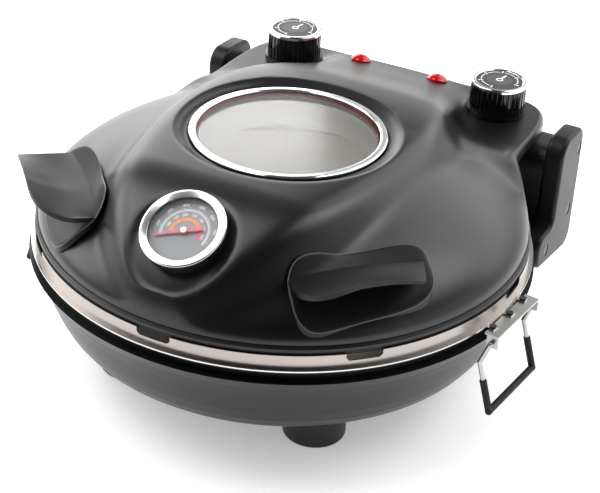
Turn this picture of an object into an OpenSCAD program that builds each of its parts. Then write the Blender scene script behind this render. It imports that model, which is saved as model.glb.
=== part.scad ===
// Electric pizza maker: a round table-top oven with a stone, a domed lid on two
// hinge arms, a viewing window, a dial thermometer and two thermostat knobs.
// Origin: centre of the footprint on the table. +Z up, front towards -Y.

/* [Pan and stone] */
// Radius of the stone
stone_r = 158; // [148:1:168]
// Thickness of the stone
stone_t = 12; // [10:0.5:14]
// Depth of the stone's top face under the flange
stone_drop = 3; // [2:0.5:5]
// Play between the stone and the pan's wall
stone_gap = 2; // [1:0.25:3]
// Width of the ledge that carries the stone
ledge_w = 9; // [6:0.5:12]
// Depth of the well under the stone
well_depth = 20; // [17:0.5:23]
// Width of the pan's flange
flange_w = 15; // [13:0.5:17]
// Sheet thickness of the pan
pan_t = 1; // [0.8:0.1:1.2]
// Height of the pan's flange above the table
rim_z = 95; // [88:1:108]
// Distance from the flange's edge in to the vented collar
collar_in = 3; // [2:0.25:4]
// Sheet thickness of the collar
collar_t = 1; // [0.8:0.1:1.2]
// Height of the collar
collar_h = 9.3; // [8.3:0.1:10.3]
// Number of vent notches
vent_count = 8; // [4:1:12]
// Width of a vent notch
vent_w = 24; // [16:1:30]
// Depth of a vent notch
vent_h = 5; // [3:0.5:6]

/* [Heating] */
// Radius of the heating tubes
tube_r = 3.5; // [3:0.25:4]
// Distance of the lower heating ring inside the well's wall
lower_ring_in = 43; // [30:1:55]
// Height of the lower ring above the well's floor
lower_ring_up = 10; // [8:0.5:12]
// Distance of the upper heating ring inside the lid's lip
upper_ring_in = 69.5; // [64:0.5:76]
// Half the distance between the two ends of a ring
tail_x = 14; // [11:0.5:18]

/* [Base] */
// How far the housing's lip stands out past the flange
lip_out = 1.5; // [1:0.25:2]
// Gap from the flange down to the housing's lip
lip_drop = 9; // [8:0.5:10]
// How far the housing draws in from its lip to its foot
bowl_in = 39; // [34:0.5:43]
// Wall of the housing
bowl_wall = 2.5; // [2:0.25:3]
// Height of the housing's floor above the table
floor_z = 26; // [23:0.5:29]
// Distance of the feet inside the housing's foot
foot_in = 26.5; // [24:0.5:30]
// Radius of one foot
foot_r = 21.5; // [18:0.5:24]
// Angle of the feet from the middle of front and back
foot_a = 41; // [36:1:50]
// Radius of the hole under the removable floor cover
service_hole_r = 78; // [66:1:84]

/* [Lid] */
// Distance of the lid's lip inside the collar's outer face
lip_in = 2.5; // [2:0.25:3]
// Gap between the collar and the ring under the lid
collar_gap = 2.2; // [1.8:0.1:2.6]
// Thickness of the ring under the lid
lid_ring_t = 3.5; // [3:0.25:4]
// Height of the shell's straight edge
edge_t = 2; // [1.5:0.25:2.5]
// Rise of the flank from the lip
dome_h = 59; // [53:1:65]
// Roundness of the flank
dome_n = 1.65; // [1.5:0.05:1.9]
// Height of the raised tongue above the flange
tongue_h = 79; // [71:1:87]
// Half width of the tongue at its widest
tongue_w = 88; // [80:1:97]
// Half width of the tongue between the knobs
tongue_rear_w = 58; // [52:1:64]
// Height of the knob pods above the flange
pod_h = 44; // [40:0.5:48]
// Distance from a knob's middle to the side of its pod
pod_side = 40; // [36:1:44]
// Distance from the hinge axis back to the lid's rear edge
rear_back = 25; // [22:0.5:28]
// Wall of the lid shell
shell_t = 3; // [2.5:0.25:3.5]

/* [Window] */
// Outer radius of the chrome window ring
window_r = 68; // [61:1:75]
// Width of the chrome ring
window_band = 5.5; // [4.5:0.25:6.5]
// Thickness of the glass
glass_t = 3; // [2.5:0.25:3.5]
// Depth of the window's seat below the tongue
dish_drop = 5; // [4:0.5:6]
// Thickness of the gasket under the glass
gasket_t = 1; // [0.75:0.25:1.5]

/* [Thermometer] */
// Distance of the thermometer inside the lid's lip
gauge_in = 31.1; // [28:0.5:34.5]
// Height of its bezel above the tongue there
gauge_up = 6.4; // [5:0.2:7.4]
// Lean of its face towards the front
gauge_tilt = 31; // [28:1:34]
// Radius of its bezel
gauge_r = 28; // [25:0.5:31]
// Width of the bezel's flat ring
gauge_band = 5.2; // [4.5:0.1:6]
// Turn of the needle at rest
needle_rest = 27; // [20:1:34]

/* [Knobs and lamps] */
// Distance of each knob from the middle
knob_x = 86; // [78:1:94]
// Distance of the knobs in front of the hinge axis
knob_fore = 7; // [6:0.5:8]
// Radius of a knob
knob_r = 20.8; // [18.6:0.2:23]
// Height of a knob above its bezel
knob_h = 21.5; // [18:0.5:24]
// Number of grooves round a knob
knob_grooves = 36; // [24:1:40]
// Distance of each pilot lamp from the middle
lamp_x = 32.5; // [29:0.5:36]
// Distance of the pilot lamps behind the hinge axis
lamp_back = 3.8; // [3:0.2:4.6]
// Radius of a lamp's lens
lamp_r = 8; // [7:0.2:9]

/* [Handles] */
// Angle of each handle from the front
handle_a = 46.5; // [44:0.5:49]
// Distance of the handle's base inside the lid's lip
plate_in = 23; // [21:0.5:25]
// Half width of the handle's base
plate_w = 46.5; // [42:0.5:50]
// Half height of the base, measured in plan
plate_l = 19; // [17:0.5:21]
// Thickness of the base at its middle
plate_skin = 1.8; // [1.5:0.1:2.2]
// How far the thumb wing stands out past the lid's lip
wing_out = 10; // [8:0.5:12]
// Rise of the wing's edge above the middle of the base
wing_rise = 23.5; // [21:0.5:26]
// Thickness of the wing
wing_t = 3.6; // [3:0.2:4.4]

/* [Hinge] */
// Distance of the hinge axis behind the flange's edge
hinge_back = 6; // [5.5:0.25:7]
// Height of the hinge axis above the flange
hinge_h = 18; // [16:0.5:20]
// Radius of the hinge pins
pin_r = 5; // [4:0.25:5.5]
// Wall of the bushes round the pins
bush_wall = 3; // [2.5:0.25:3.5]
// Distance from a pod's side out to the plane between arm and cover
cover_out = 9.5; // [8.5:0.5:10.5]
// Thickness of an arm without its cover
core_w = 22.3; // [20.5:0.1:24.5]
// Thickness of an arm's cover
cover_w = 14.5; // [13:0.5:16]
// Height of the arms' foot above the table
arm_foot_z = 36; // [32:1:39]

/* [Carrying bails] */
// Angle of each bail from the front
bail_a = 84; // [82:0.5:86]
// Distance of the bail's pivot line outside the flange
pivot_out = 6.5; // [6:0.25:7.25]
// Depth of the pivot line below the flange
bail_drop = 6.6; // [6:0.2:7.2]
// Half the distance between the bail's legs
bail_w = 31.5; // [28:0.5:35]
// Length of the bail below its pivot
bail_l = 50.5; // [45:0.5:55]
// Radius of the bail wire
wire_r = 1.6; // [1.4:0.1:1.8]
// Wall of the sleeve on the bail wire
sleeve_wall = 0.8; // [0.6:0.1:1]
// Sheet thickness of the bail's bracket
bracket_t = 1.2; // [1:0.1:1.4]

/* [Fits] */
// Radial gap of a running fit
run_gap = 0.05; // [0.04:0.01:0.08]
// Gap round a part that drops into a hole
drop_gap = 0.2; // [0.15:0.05:0.25]
// Gap between the lid's plug seal and the collar
seal_gap = 0.5; // [0.4:0.1:0.7]

/* [Hidden] */
$fn = 96;

// Radii of the base, from the stone outwards
pan_r = stone_r + stone_gap;
well_r = stone_r - ledge_w;
rim_r = pan_r + flange_w;
collar_r = rim_r - collar_in;
bowl_lip_r = rim_r + lip_out;
bowl_foot_r = bowl_lip_r - bowl_in;
foot_circle_r = bowl_foot_r - foot_in;
lower_ring_r = well_r - lower_ring_in;

// Heights of the base
rim_floor = rim_z - lip_drop;
stone_top = rim_z - stone_drop;
ledge_z = stone_top - stone_t;
well_z = ledge_z - well_depth;
shield_z = well_z - 8;

// The lid's plan and heights
lip_r = collar_r - lip_in;
upper_ring_r = lip_r - upper_ring_in;
lid_ring_z = rim_z + collar_h + collar_gap;
lip_h = collar_h + collar_gap + lid_ring_t + edge_t;
lip_z = rim_z + lip_h;
seat_z = rim_z + tongue_h - dish_drop;
frame_z = seat_z - shell_t;
hinge_y = rim_r + hinge_back;
hinge_z = rim_z + hinge_h;
rear_y = hinge_y + rear_back;
knob_y = hinge_y - knob_fore;
lamp_y = hinge_y + lamp_back;
gauge_y = lip_r - gauge_in;
pod_w = knob_x + pod_side;
pod_z = rim_z + pod_h;
pod_edge = 7;
pod_skirt_h = pod_h - pod_edge - 1;
plate_mid_r = lip_r - plate_in;
wing_r = lip_r + wing_out;
cover_x = pod_w + cover_out;
arm_x = cover_x - core_w;
arm_out_x = cover_x + cover_w;
bail_pivot_r = rim_r + pivot_out;
sleeve_r = wire_r + sleeve_wall;
SIDES = [-1, 1];
bend_bulge = 0.15;

// ---------- helpers ----------

// Point on a cubic curve with four control points
function bezier(p, t) =
  pow(1 - t, 3) * p[0] + 3 * pow(1 - t, 2) * t * p[1]
  + 3 * (1 - t) * t * t * p[2] + pow(t, 3) * p[3];

// Points of an arc round [cx, cy] from angle a to angle b
function arc(cx, cy, r, a, b, n = 6) =
  [for (i = [0 : n]) [cx + r * cos(a + (b - a) * i / n), cy + r * sin(a + (b - a) * i / n)]];

// Smooth larger of two values, and smooth ramp that starts at zero
function soft_max(a, b, k) = (a + b + sqrt((a - b) * (a - b) + k * k)) / 2;
function ramp(v, k) = (v + sqrt(v * v + k * k)) / 2;
function step01(v) = let (c = max(0, min(1, v))) c * c * (3 - 2 * c);

module ring(r_in, r_out, z0, z1) {
  translate([0, 0, z0])
    difference() {
      cylinder(r = r_out, h = z1 - z0, $fn = 180);
      translate([0, 0, -1]) cylinder(r = r_in, h = z1 - z0 + 2, $fn = 180);
    }
}

module revolve(points) {
  rotate_extrude($fn = 180) polygon(points);
}

// Closed strip of profiles: a list of equal loops, joined side by side and end to end
module loop_mesh(loops) {
  n = len(loops);
  m = len(loops[0]);
  polyhedron(
    points = [for (l = loops) each l],
    faces = [for (i = [0 : n - 1], j = [0 : m - 1])
      let (a = i * m + j, b = i * m + (j + 1) % m,
           c = ((i + 1) % n) * m + (j + 1) % m, d = ((i + 1) % n) * m + j)
      each [[a, b, c], [a, c, d]]]
  );
}

// ---------- the shape of the lid ----------

// Outline in plan: a circle with a box for the knob pods behind it
function box_r(s, c) = pow(pow(abs(s) / pod_w, 10) + pow(max(c, 0) / rear_y, 10), -0.1);
function lid_r(a) =
  let (s = sin(a), c = -cos(a))
  c < 0.2 ? lip_r : max(lip_r, soft_max(lip_r, box_r(s, c), 4));

// How far a direction belongs to the rear box: 0 in front, 1 behind
function rear_part(a) = step01((abs(a) - 120) / 13);

// Height of the edge of the shell, and of the bottom of its skirt
function edge_h(a) = lip_h + (pod_h - pod_edge - lip_h) * rear_part(a);
function skirt_h(a) = lip_h - edge_t + (pod_skirt_h - lip_h + edge_t) * rear_part(a);

// Flank, above the flange
function flank(r) =
  lip_h + dome_h * pow(max(0, 1 - pow(min(1, r / lip_r), dome_n)), 1 / dome_n);

// Tongue: widest at tongue_mid_y, drawn in towards the front and between the knobs
tongue_mid_y = 30;
tongue_fore = lip_r + tongue_mid_y;
tongue_aft = knob_y - tongue_mid_y - 14;
function tongue_half(y) =
  y < tongue_mid_y
  ? tongue_w * sqrt(max(0.02, 1 - pow((y - tongue_mid_y) / tongue_fore, 2)))
  : tongue_rear_w + (tongue_w - tongue_rear_w)
    * (1 + cos(180 * min(1, (y - tongue_mid_y) / tongue_aft))) / 2;
tongue_back_y = window_r + 10;
tongue_front_y = window_r + 17;
function tongue_top(y) =
  tongue_h - 0.27 * ramp(y - tongue_back_y, 20)
  - 0.00605 * pow(max(0, -y - tongue_front_y), 2);
function tongue(x, y) = tongue_top(y) - 1.6 * ramp(abs(x) - tongue_half(y), 8);

// Pods: their front slope begins at pod_fore_y
pod_fore_y = knob_y - 74;
function pods(y) = pod_h - 1.3 * ramp(pod_fore_y - y, 10);

// Rounded outer edge: its width and rise, in front and behind
EDGE_W = [60, 9];
EDGE_RISE = [68, 8];
function rounded_edge(r, a) =
  let (m = rear_part(a), w = EDGE_W[0] + (EDGE_W[1] - EDGE_W[0]) * m,
       h = EDGE_RISE[0] + (EDGE_RISE[1] - EDGE_RISE[0]) * m,
       d = max(0, min(1, (lid_r(a) - r) / w)))
  edge_h(a) + h * sqrt(1 - (1 - d) * (1 - d)) + 2 * max(0, lid_r(a) - r - w);

// Dish round the thermometer
gauge_h = tongue_top(-gauge_y) + gauge_up;
gauge_dish = [9, 7, 3.5];
function gauge_hollow(x, y) =
  let (v = (y + gauge_y) / cos(gauge_tilt), r = sqrt(x * x + v * v))
  gauge_dish[2] * step01((gauge_r + gauge_dish[0] - r) / gauge_dish[1]);

// Flat seat round the window, and the slope down to it
seat_margin = 10;
seat_slope = 6;

// Top surface of the lid above the flange
function lid_h(x, y) =
  let (r = sqrt(x * x + y * y), a = atan2(x, -y),
       body = soft_max(soft_max(flank(r), tongue(x, y), 5), pods(y), 4),
       top = min(body, rounded_edge(r, a)) - gauge_hollow(x, y),
       seat = step01((window_r + seat_margin - r) / seat_slope))
  top * (1 - seat) + (tongue_h - dish_drop) * seat;

// Point on the lid at radius r and angle a, lowered by d
function lid_point(r, a, d = 0) =
  [r * sin(a), -r * cos(a), rim_z + lid_h(r * sin(a), -r * cos(a)) - d];

// Hole for the window
hole_r = window_r + 1;

// Angle between two profiles of the shell, and rings of facets from window to edge
lid_step = 3;
lid_rings = 16;

// Profile of the shell at angle a: over the top, down the skirt and back inside
function shell_profile(a, n) =
  let (r1 = lid_r(a), r2 = r1 - shell_t, zs = rim_z + skirt_h(a),
       steps = [for (i = [0 : n]) pow(i / n, 0.8)])
  concat(
    [for (s = steps) lid_point(hole_r + (r1 - hole_r) * s, a)],
    [[r1 * sin(a), -r1 * cos(a), zs], [r2 * sin(a), -r2 * cos(a), zs]],
    [for (i = [n : -1 : 0]) lid_point(hole_r + (r2 - hole_r) * steps[i], a, shell_t)]
  );

// Slope of the panel between the knobs
panel_slope = 15;

// Frame of the thermometer: its bezel's middle, looking along its axis
module at_gauge() {
  translate([0, -gauge_y, rim_z + gauge_h]) rotate([gauge_tilt, 0, 0]) children();
}

lamp_up = 0.4;
module at_lamp(side) {
  translate([side * lamp_x, lamp_y, rim_z + lid_h(lamp_x, lamp_y) + lamp_up])
    rotate([-panel_slope, 0, 0]) children();
}

module at_knob(side) {
  translate([side * knob_x, knob_y, pod_z]) children();
}

// Places on the right handle: r out from the middle, t towards the rear
function handle_xy(r, t) =
  [r * sin(handle_a) + t * cos(handle_a), -r * cos(handle_a) + t * sin(handle_a)];
function handle_point(r, t, up) =
  let (p = handle_xy(r, t)) [p[0], p[1], rim_z + lid_h(p[0], p[1]) + up];

// Two bosses join each handle to the shell: their lean, place, radius and length
boss_tilt = 38;
boss_t = 26;
boss_r = 3.5;
boss_l = 9;
module at_boss(side, t) {
  scale([side, 1, 1])
    translate(handle_point(plate_mid_r, t, 0))
      rotate([0, 0, handle_a - 90]) rotate([0, boss_tilt, 0]) children();
}

// Radii of what drops into the shell: knob bezels, lamp stems, thermometer case
bezel_r = knob_r + 1.9;
lamp_stem_r = lamp_r - 1.3;
case_r = gauge_r - 1;
module lid_shell() {
  reach = 4 * shell_t;
  color("#3a3a3b")
    difference() {
      loop_mesh([for (a = [-180 : lid_step : 180 - lid_step]) shell_profile(a, lid_rings)]);
      at_gauge() translate([0, 0, -60]) cylinder(r = case_r + drop_gap, h = 80);
      for (side = SIDES) {
        at_knob(side) translate([0, 0, -reach]) cylinder(r = bezel_r + drop_gap, h = 2 * reach);
        at_lamp(side) translate([0, 0, -reach]) cylinder(r = lamp_stem_r + drop_gap, h = 2 * reach);
        for (t = [-boss_t, boss_t])
          at_boss(side, t) translate([0, 0, -reach]) cylinder(r = boss_r + drop_gap, h = 2 * reach - 4);
      }
    }
}

// Ring that closes the lid's edge, and stands out a little past the shell
ring_out = 2;
ring_in = 11.5;
module lid_ring() {
  top = lid_ring_z + lid_ring_t;
  color("#2b2b2c")
    revolve([
      [lip_r - ring_in, lid_ring_z], [lip_r + ring_out, lid_ring_z],
      [lip_r + ring_out, top - 1.5], [lip_r + 0.6, top], [lip_r - ring_in, top]
    ]);
}

// Seal that plugs into the collar
seal_r = collar_r - collar_t - seal_gap;
seal_w = 5.3;
seal_h = 3.5;
module lid_seal() {
  color("#1c1c1c") ring(seal_r - seal_w, seal_r, lid_ring_z - seal_h, lid_ring_z);
}

// Bright sheet inside the lid: its profile runs up under the shell to the window
liner_t = 0.8;
liner_gap = 12;
liner_low = collar_h + collar_gap - liner_t;
liner_steep_r = lip_r - 28.5;
liner_flat_r = lip_r - 57.5;
liner_flat_h = flank(liner_flat_r) - liner_gap;
liner_end_r = window_r - 6;
liner_line = [
  [lip_r - 4.5, liner_low], [lip_r - 12.5, liner_low],
  [liner_steep_r, flank(liner_steep_r) - liner_gap], [liner_flat_r, liner_flat_h],
  [liner_end_r, liner_flat_h + 5]
];
upper_ring_h = liner_flat_h - 7;

// Underside of the liner's sloping ceiling at radius r
function liner_under(r) =
  let (a = liner_line[3], b = liner_line[4])
  rim_z + a[1] + (b[1] - a[1]) * (a[0] - liner_t - r) / (a[0] - liner_t - b[0]);

module lid_liner() {
  t = liner_t;
  n = len(liner_line) - 1;
  outer = [for (p = liner_line) [p[0], rim_z + p[1] + t]];
  inner = [for (i = [n : -1 : 0]) [liner_line[i][0] - (i == 0 || i == n ? 0 : t), rim_z + liner_line[i][1]]];
  color("#c9cbcc")
    difference() {
      revolve(concat(outer, inner));
      at_gauge() translate([0, 0, -60]) cylinder(r = probe_r + 1, h = 50);
      for (s = SIDES)
        translate([s * tail_x, upper_ring_y(tail_x), rim_z + upper_ring_h])
          cylinder(r = tube_r + 0.5, h = 30);
    }
}

function upper_ring_y(x) = sqrt(upper_ring_r * upper_ring_r - x * x);

// Heating ring with an opening at the back and two upright or hanging ends
module heating_ring(r, z, end_x, end_z) {
  half = asin(end_x / r);
  rotate([0, 0, 90 + half])
    rotate_extrude(angle = 360 - 2 * half, $fn = 120) translate([r, z]) circle(r = tube_r, $fn = 24);
  for (s = SIDES)
    translate([s * end_x, sqrt(r * r - end_x * end_x), min(z, end_z)])
      cylinder(r = tube_r, h = abs(end_z - z), $fn = 24);
  for (s = SIDES)
    translate([s * end_x, sqrt(r * r - end_x * end_x), z]) sphere(r = tube_r + bend_bulge, $fn = 24);
}

upper_tail_l = 19;
module upper_element() {
  color("#8d8a86")
    heating_ring(upper_ring_r, rim_z + upper_ring_h, tail_x, rim_z + upper_ring_h + upper_tail_l);
}

clip_w = 10;
clip_t = 2;
module upper_element_clips() {
  color("#b8babb")
    for (a = [-90, 0, 90])
      rotate([0, 0, a])
        translate([-clip_w / 2, -upper_ring_r - clip_t / 2, rim_z + upper_ring_h + tube_r])
          cube([clip_w, clip_t, liner_under(upper_ring_r + 1.2) - rim_z - upper_ring_h - tube_r]);
}

frame_t = 2;
module window_frame() {
  color("#222223") ring(window_r - 7, window_r + 6, frame_z - frame_t, frame_z);
}

module window_well() {
  color("#d2d4d5")
    ring(liner_end_r, liner_end_r + 1, rim_z + liner_line[4][1] + liner_t, frame_z - frame_t);
}

module window_gasket() {
  color("#8a1f1a") ring(window_r - 6.5, window_r - 3, frame_z, frame_z + gasket_t);
}

glass_r = window_r - 3;
module window_glass() {
  color([0.82, 0.86, 0.87, 0.35])
    translate([0, 0, frame_z + gasket_t]) cylinder(r = glass_r, h = glass_t, $fn = 180);
}

module window_ring() {
  top = frame_z + gasket_t + glass_t;
  color("#e2e3e4")
    revolve([
      [glass_r + drop_gap, frame_z], [window_r, frame_z], [window_r, top + 0.7],
      [window_r - 1, top + 1.5], [window_r - window_band + 1, top + 1.5],
      [window_r - window_band, top + 0.7], [window_r - window_band, top],
      [glass_r + drop_gap, top]
    ]);
}

// ---------- thermometer, drawn with its bezel's face at z = 0 ----------

// Radius, face and underside of the dial, and the probe behind it
dial_r = gauge_r - gauge_band + 0.8;
dial_z = -5.6;
dial_bed = -18;
probe_r = 3;
probe_l = 58;
module thermometer_case() {
  color("#1d1d1e")
    at_gauge()
      difference() {
        union() {
          translate([0, 0, dial_bed - 2]) cylinder(r = case_r, h = -dial_bed - 1);
          translate([0, 0, -probe_l]) cylinder(r = probe_r, h = probe_l + dial_bed - 1);
          translate([0, 0, dial_bed - 6]) cylinder(r = 2 * probe_r, h = 5);
        }
        translate([0, 0, dial_bed]) cylinder(r = dial_r + drop_gap, h = 20);
      }
}

module thermometer_bezel() {
  color("#dfe0e1")
    at_gauge()
      rotate_extrude($fn = 120)
        polygon([
          [gauge_r, -3], [gauge_r, -1], [gauge_r - 0.8, 0], [gauge_r - gauge_band + 0.8, 0],
          [gauge_r - gauge_band, -0.9], [dial_r + drop_gap, -0.9], [dial_r + drop_gap, -3]
        ]);
}

module thermometer_lens() {
  color([0.9, 0.92, 0.93, 0.25])
    at_gauge() translate([0, 0, -1.9]) cylinder(r = dial_r, h = 1);
}

needle_shaft_r = 0.8;
shaft_bed = dial_z - 4.4;
module thermometer_dial() {
  color("#6c6d70")
    at_gauge()
      difference() {
        translate([0, 0, dial_bed]) cylinder(r = dial_r, h = dial_z - dial_bed);
        translate([0, 0, shaft_bed]) cylinder(r = needle_shaft_r + run_gap, h = 10);
      }
}

// Needle with a pointed end and a short thick tail, turned to where it rests
needle_l = dial_r - 4.6;
needle_tail_l = 12;
module thermometer_needle() {
  color("#d8262c")
    at_gauge() rotate([0, 0, needle_rest]) {
      translate([0, 0, shaft_bed + 1]) cylinder(r = needle_shaft_r, h = 5);
      translate([0, 0, dial_z + 0.6]) cylinder(r = 2.4, h = 1.6);
      translate([0, 0, dial_z + 1])
        linear_extrude(0.6)
          polygon([
            [-needle_l, -0.4], [-needle_l, 0.4], [0, 1.1],
            [needle_tail_l, 1.6], [needle_tail_l, -1.6], [0, -1.1]
          ]);
    }
}

// ---------- handles ----------

// The base is less curved than the lid, so its two ends stand proud of it
plate_up = 1.3;
PLATE_RISE = [4, 7];
function plate_top(t) =
  plate_up + plate_skin + PLATE_RISE[t > 0 ? 1 : 0] * pow(t / plate_w, 2);
// Its outline is a rounded oblong whose rear end leans inwards
plate_skew = 0.06;
plate_power = 3.6;
function plate_rim(q) =
  let (c = cos(q), s = sin(q),
       k = pow(pow(abs(c), plate_power) + pow(abs(s), plate_power), -1 / plate_power),
       t = plate_w * k * c)
  [plate_mid_r + plate_l * k * s - plate_skew * t, t];

module plate() {
  n = 40;
  rings = [0.25, 0.5, 0.75, 1];
  m = len(rings);
  function spot(k, i, top) =
    let (p = plate_rim(360 * i / n), t = p[1] * k)
    handle_point(plate_mid_r + (p[0] - plate_mid_r) * k, t, top ? plate_top(t) : plate_up);
  function layer(top) = [for (k = rings, i = [0 : n - 1]) spot(k, i, top)];
  points = concat(layer(false), layer(true),
    [handle_point(plate_mid_r, 0, plate_up), handle_point(plate_mid_r, 0, plate_top(0))]);
  base = m * n;
  function wall(o, flip) = [for (k = [0 : m - 2], i = [0 : n - 1])
    let (a = o + k * n + i, b = o + k * n + (i + 1) % n, c = b + n, d = a + n)
    each (flip ? [[a, c, b], [a, d, c]] : [[a, b, c], [a, c, d]])];
  polyhedron(points, concat(
    wall(0, false), wall(base, true),
    [for (i = [0 : n - 1]) [2 * base, (i + 1) % n, i]],
    [for (i = [0 : n - 1]) [2 * base + 1, base + i, base + (i + 1) % n]],
    [for (i = [0 : n - 1])
      let (a = (m - 1) * n + i, b = (m - 1) * n + (i + 1) % n)
      each [[a, b, b + base], [a, b + base, a + base]]]
  ));
}

// Thumb wing: u runs along it from front to rear, v from the base to its free edge,
// d from its underside to its top. The front is rounded, the rear ends in a tip.
wing_root_r = plate_mid_r - 10;
wing_front_r = plate_mid_r + 7;
wing_tip_t = 28;
wing_round = 0.45;
WING_FALL = [14, 4];
wing_top_z = handle_point(plate_mid_r, 0, 0)[2] + wing_rise;
function wing_root(u) =
  handle_point(wing_root_r + 4 * pow(2 * u - 1, 2), 1 - plate_w + (2 * plate_w - 4) * u,
    plate_top(1 - plate_w + (2 * plate_w - 4) * u) + 0.2);
function wing_edge(u) =
  let (x = max(0, 1 - u / wing_round),
       p = handle_xy(wing_front_r + (wing_r - wing_front_r) * pow(1 - pow(x, 3), 0.65),
         (plate_w + wing_tip_t) * u - plate_w))
  [p[0], p[1],
   wing_top_z - WING_FALL[0] * pow(x, 1.5) - WING_FALL[1] * pow(max(0, u - 0.6) / 0.4, 1.5)];
function wing_point(u, v, d) =
  let (p = wing_root(u) * (1 - v) + wing_edge(u) * v,
       sag = 16 * u * (1 - u) * sin(180 * v),
       thick = (wing_t + (plate_skin - wing_t) * pow(1 - v, 4)) * (1 - 0.4 * u * v))
  p - [0, 0, sag + (1 - d) * thick];

module wing() {
  nu = 16;
  nv = 6;
  loop = [for (i = [0 : nu]) let (u = i / nu)
    concat([for (j = [0 : nv]) wing_point(u, j / nv, 1)],
           [for (j = [nv : -1 : 0]) wing_point(u, j / nv, 0)])];
  m = 2 * (nv + 1);
  polyhedron(
    points = [for (l = loop) each l],
    faces = concat(
      [for (i = [0 : nu - 1], j = [0 : m - 1])
        let (a = i * m + j, b = i * m + (j + 1) % m, c = b + m, d = a + m)
        each [[a, c, b], [a, d, c]]],
      [for (j = [0 : nv - 1])
        let (a = j, b = j + 1, c = m - 2 - j, d = m - 1 - j)
        each [[a, c, d], [a, b, c]]],
      [for (j = [0 : nv - 1])
        let (o = nu * m, a = o + j, b = o + j + 1, c = o + m - 2 - j, d = o + m - 1 - j)
        each [[a, d, c], [a, c, b]]]
    )
  );
}

module handle(side) {
  color("#3f4042") {
    scale([side, 1, 1]) {
      plate();
      wing();
    }
    for (t = [-boss_t, boss_t])
      at_boss(side, t)
        translate([0, 0, -boss_l]) cylinder(r = boss_r, h = boss_l + plate_up + 1, $fn = 32);
  }
}

module handle_left() {
  handle(-1);
}

module handle_right() {
  handle(1);
}

// ---------- rear of the lid ----------

// Flat plate between x0 and x1 with its outline in Y and Z
module side_plate(points, x0, x1) {
  translate([x0, 0, 0]) rotate([90, 0, 90]) linear_extrude(x1 - x0) polygon(points);
}

// Wall under the rear shelf of the lid, just inside its skirt
wall_gap = 0.5;
wall_r = lip_r - shell_t - wall_gap;
wall_t = 3;
module lid_rear_wall() {
  from = 114;
  steps = (360 - 2 * from) / lid_step;
  z0 = lip_z - edge_t;
  function under(a) =
    rim_z - shell_t - wall_gap + min(
      lid_h(wall_r * sin(a), -wall_r * cos(a)),
      lid_h((wall_r - wall_t) * sin(a), -(wall_r - wall_t) * cos(a)));
  function spot(r, a, z) = [r * sin(a), -r * cos(a), z];
  points = [for (i = [0 : steps])
    let (a = from + (360 - 2 * from) * i / steps, z1 = under(a))
    each [
      spot(wall_r - wall_t, a, z0), spot(wall_r, a, z0), spot(wall_r, a, z1),
      spot(wall_r - wall_t, a, z1)
    ]];
  last = 4 * steps;
  color("#2c2c2d")
    polyhedron(points, concat(
      [[0, 3, 2], [0, 2, 1], [last, last + 1, last + 2], [last, last + 2, last + 3]],
      [for (i = [0 : steps - 1], j = [0 : 3])
        let (a = 4 * i + j, b = 4 * i + (j + 1) % 4)
        each [[a, b, b + 4], [a, b + 4, a + 4]]]
    ));
}

// Plan of the lid's rear, moved inwards by i
module lid_plan(i) {
  linear_extrude(rim_z + 200)
    polygon([for (a = [90 : lid_step : 270]) [(lid_r(a) - i) * sin(a), -(lid_r(a) - i) * cos(a)]]);
}

arm_gap = 2.2;
box_w = arm_x - arm_gap;
box_front = knob_y - 16;
box_floor = rim_z + 12.5;
box_step = rim_z + 19;
box_top = rim_z + pod_h - pod_edge;
box_line = [
  [box_front, box_step], [lip_r + 2.5, box_step], [lip_r + 2.5, box_floor],
  [hinge_y + 7, box_floor], [rear_y, box_step + 6], [rear_y, box_top], [box_front, box_top]
];
bush_r = pin_r + bush_wall;

module control_housing() {
  t = 2;
  l = box_line;
  inner = [
    l[0] + [-t, t], l[1] + [t, t], l[2] + [t, t], l[3] + [-0.8, t], l[4] + [t, 1],
    l[5] + [t, t], l[6] + [-t, t]
  ];
  color("#303031")
    difference() {
      intersection() {
        side_plate(box_line, -box_w, box_w);
        lid_plan(shell_t + drop_gap);
      }
      intersection() {
        side_plate(inner, -box_w + t, box_w - t);
        lid_plan(shell_t + drop_gap + t);
      }
      cylinder(r = wall_r + drop_gap, h = rim_z + 200, $fn = 180);
      translate([-box_w - 1, hinge_y, hinge_z]) rotate([0, 90, 0])
        cylinder(r = bush_r, h = 2 * box_w + 2);
    }
}

bush_l = 12;
module hinge_bush(side) {
  color("#9a9c9e")
    scale([side, 1, 1])
      translate([box_w - bush_l, hinge_y, hinge_z]) rotate([0, 90, 0])
        difference() {
          cylinder(r = bush_r, h = bush_l + 0.8);
          translate([0, 0, -1]) cylinder(r = pin_r + run_gap, h = 2 * bush_l);
        }
}

shaft_r = 3;
thermostat_w = 26;
thermostat_h = 15;
stub_l = 6.5;
thermostat_top = pod_z - stub_l;
module thermostats() {
  color("#b9a98c")
    for (side = SIDES)
      difference() {
        translate([side * knob_x, knob_y, thermostat_top - thermostat_h / 2])
          cube([thermostat_w, thermostat_w, thermostat_h], center = true);
        translate([side * knob_x, knob_y, thermostat_top - 8])
          cylinder(r = shaft_r + run_gap, h = 10);
      }
}

bezel_h = 3;
module knob_bezel(side) {
  color("#161617")
    at_knob(side)
      difference() {
        union() {
          translate([0, 0, -4]) cylinder(r = bezel_r, h = 4 + bezel_h);
          translate([0, 0, -stub_l]) cylinder(r = 8, h = 4);
        }
        translate([0, 0, -10]) cylinder(r = shaft_r + run_gap, h = 20);
      }
}

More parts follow.
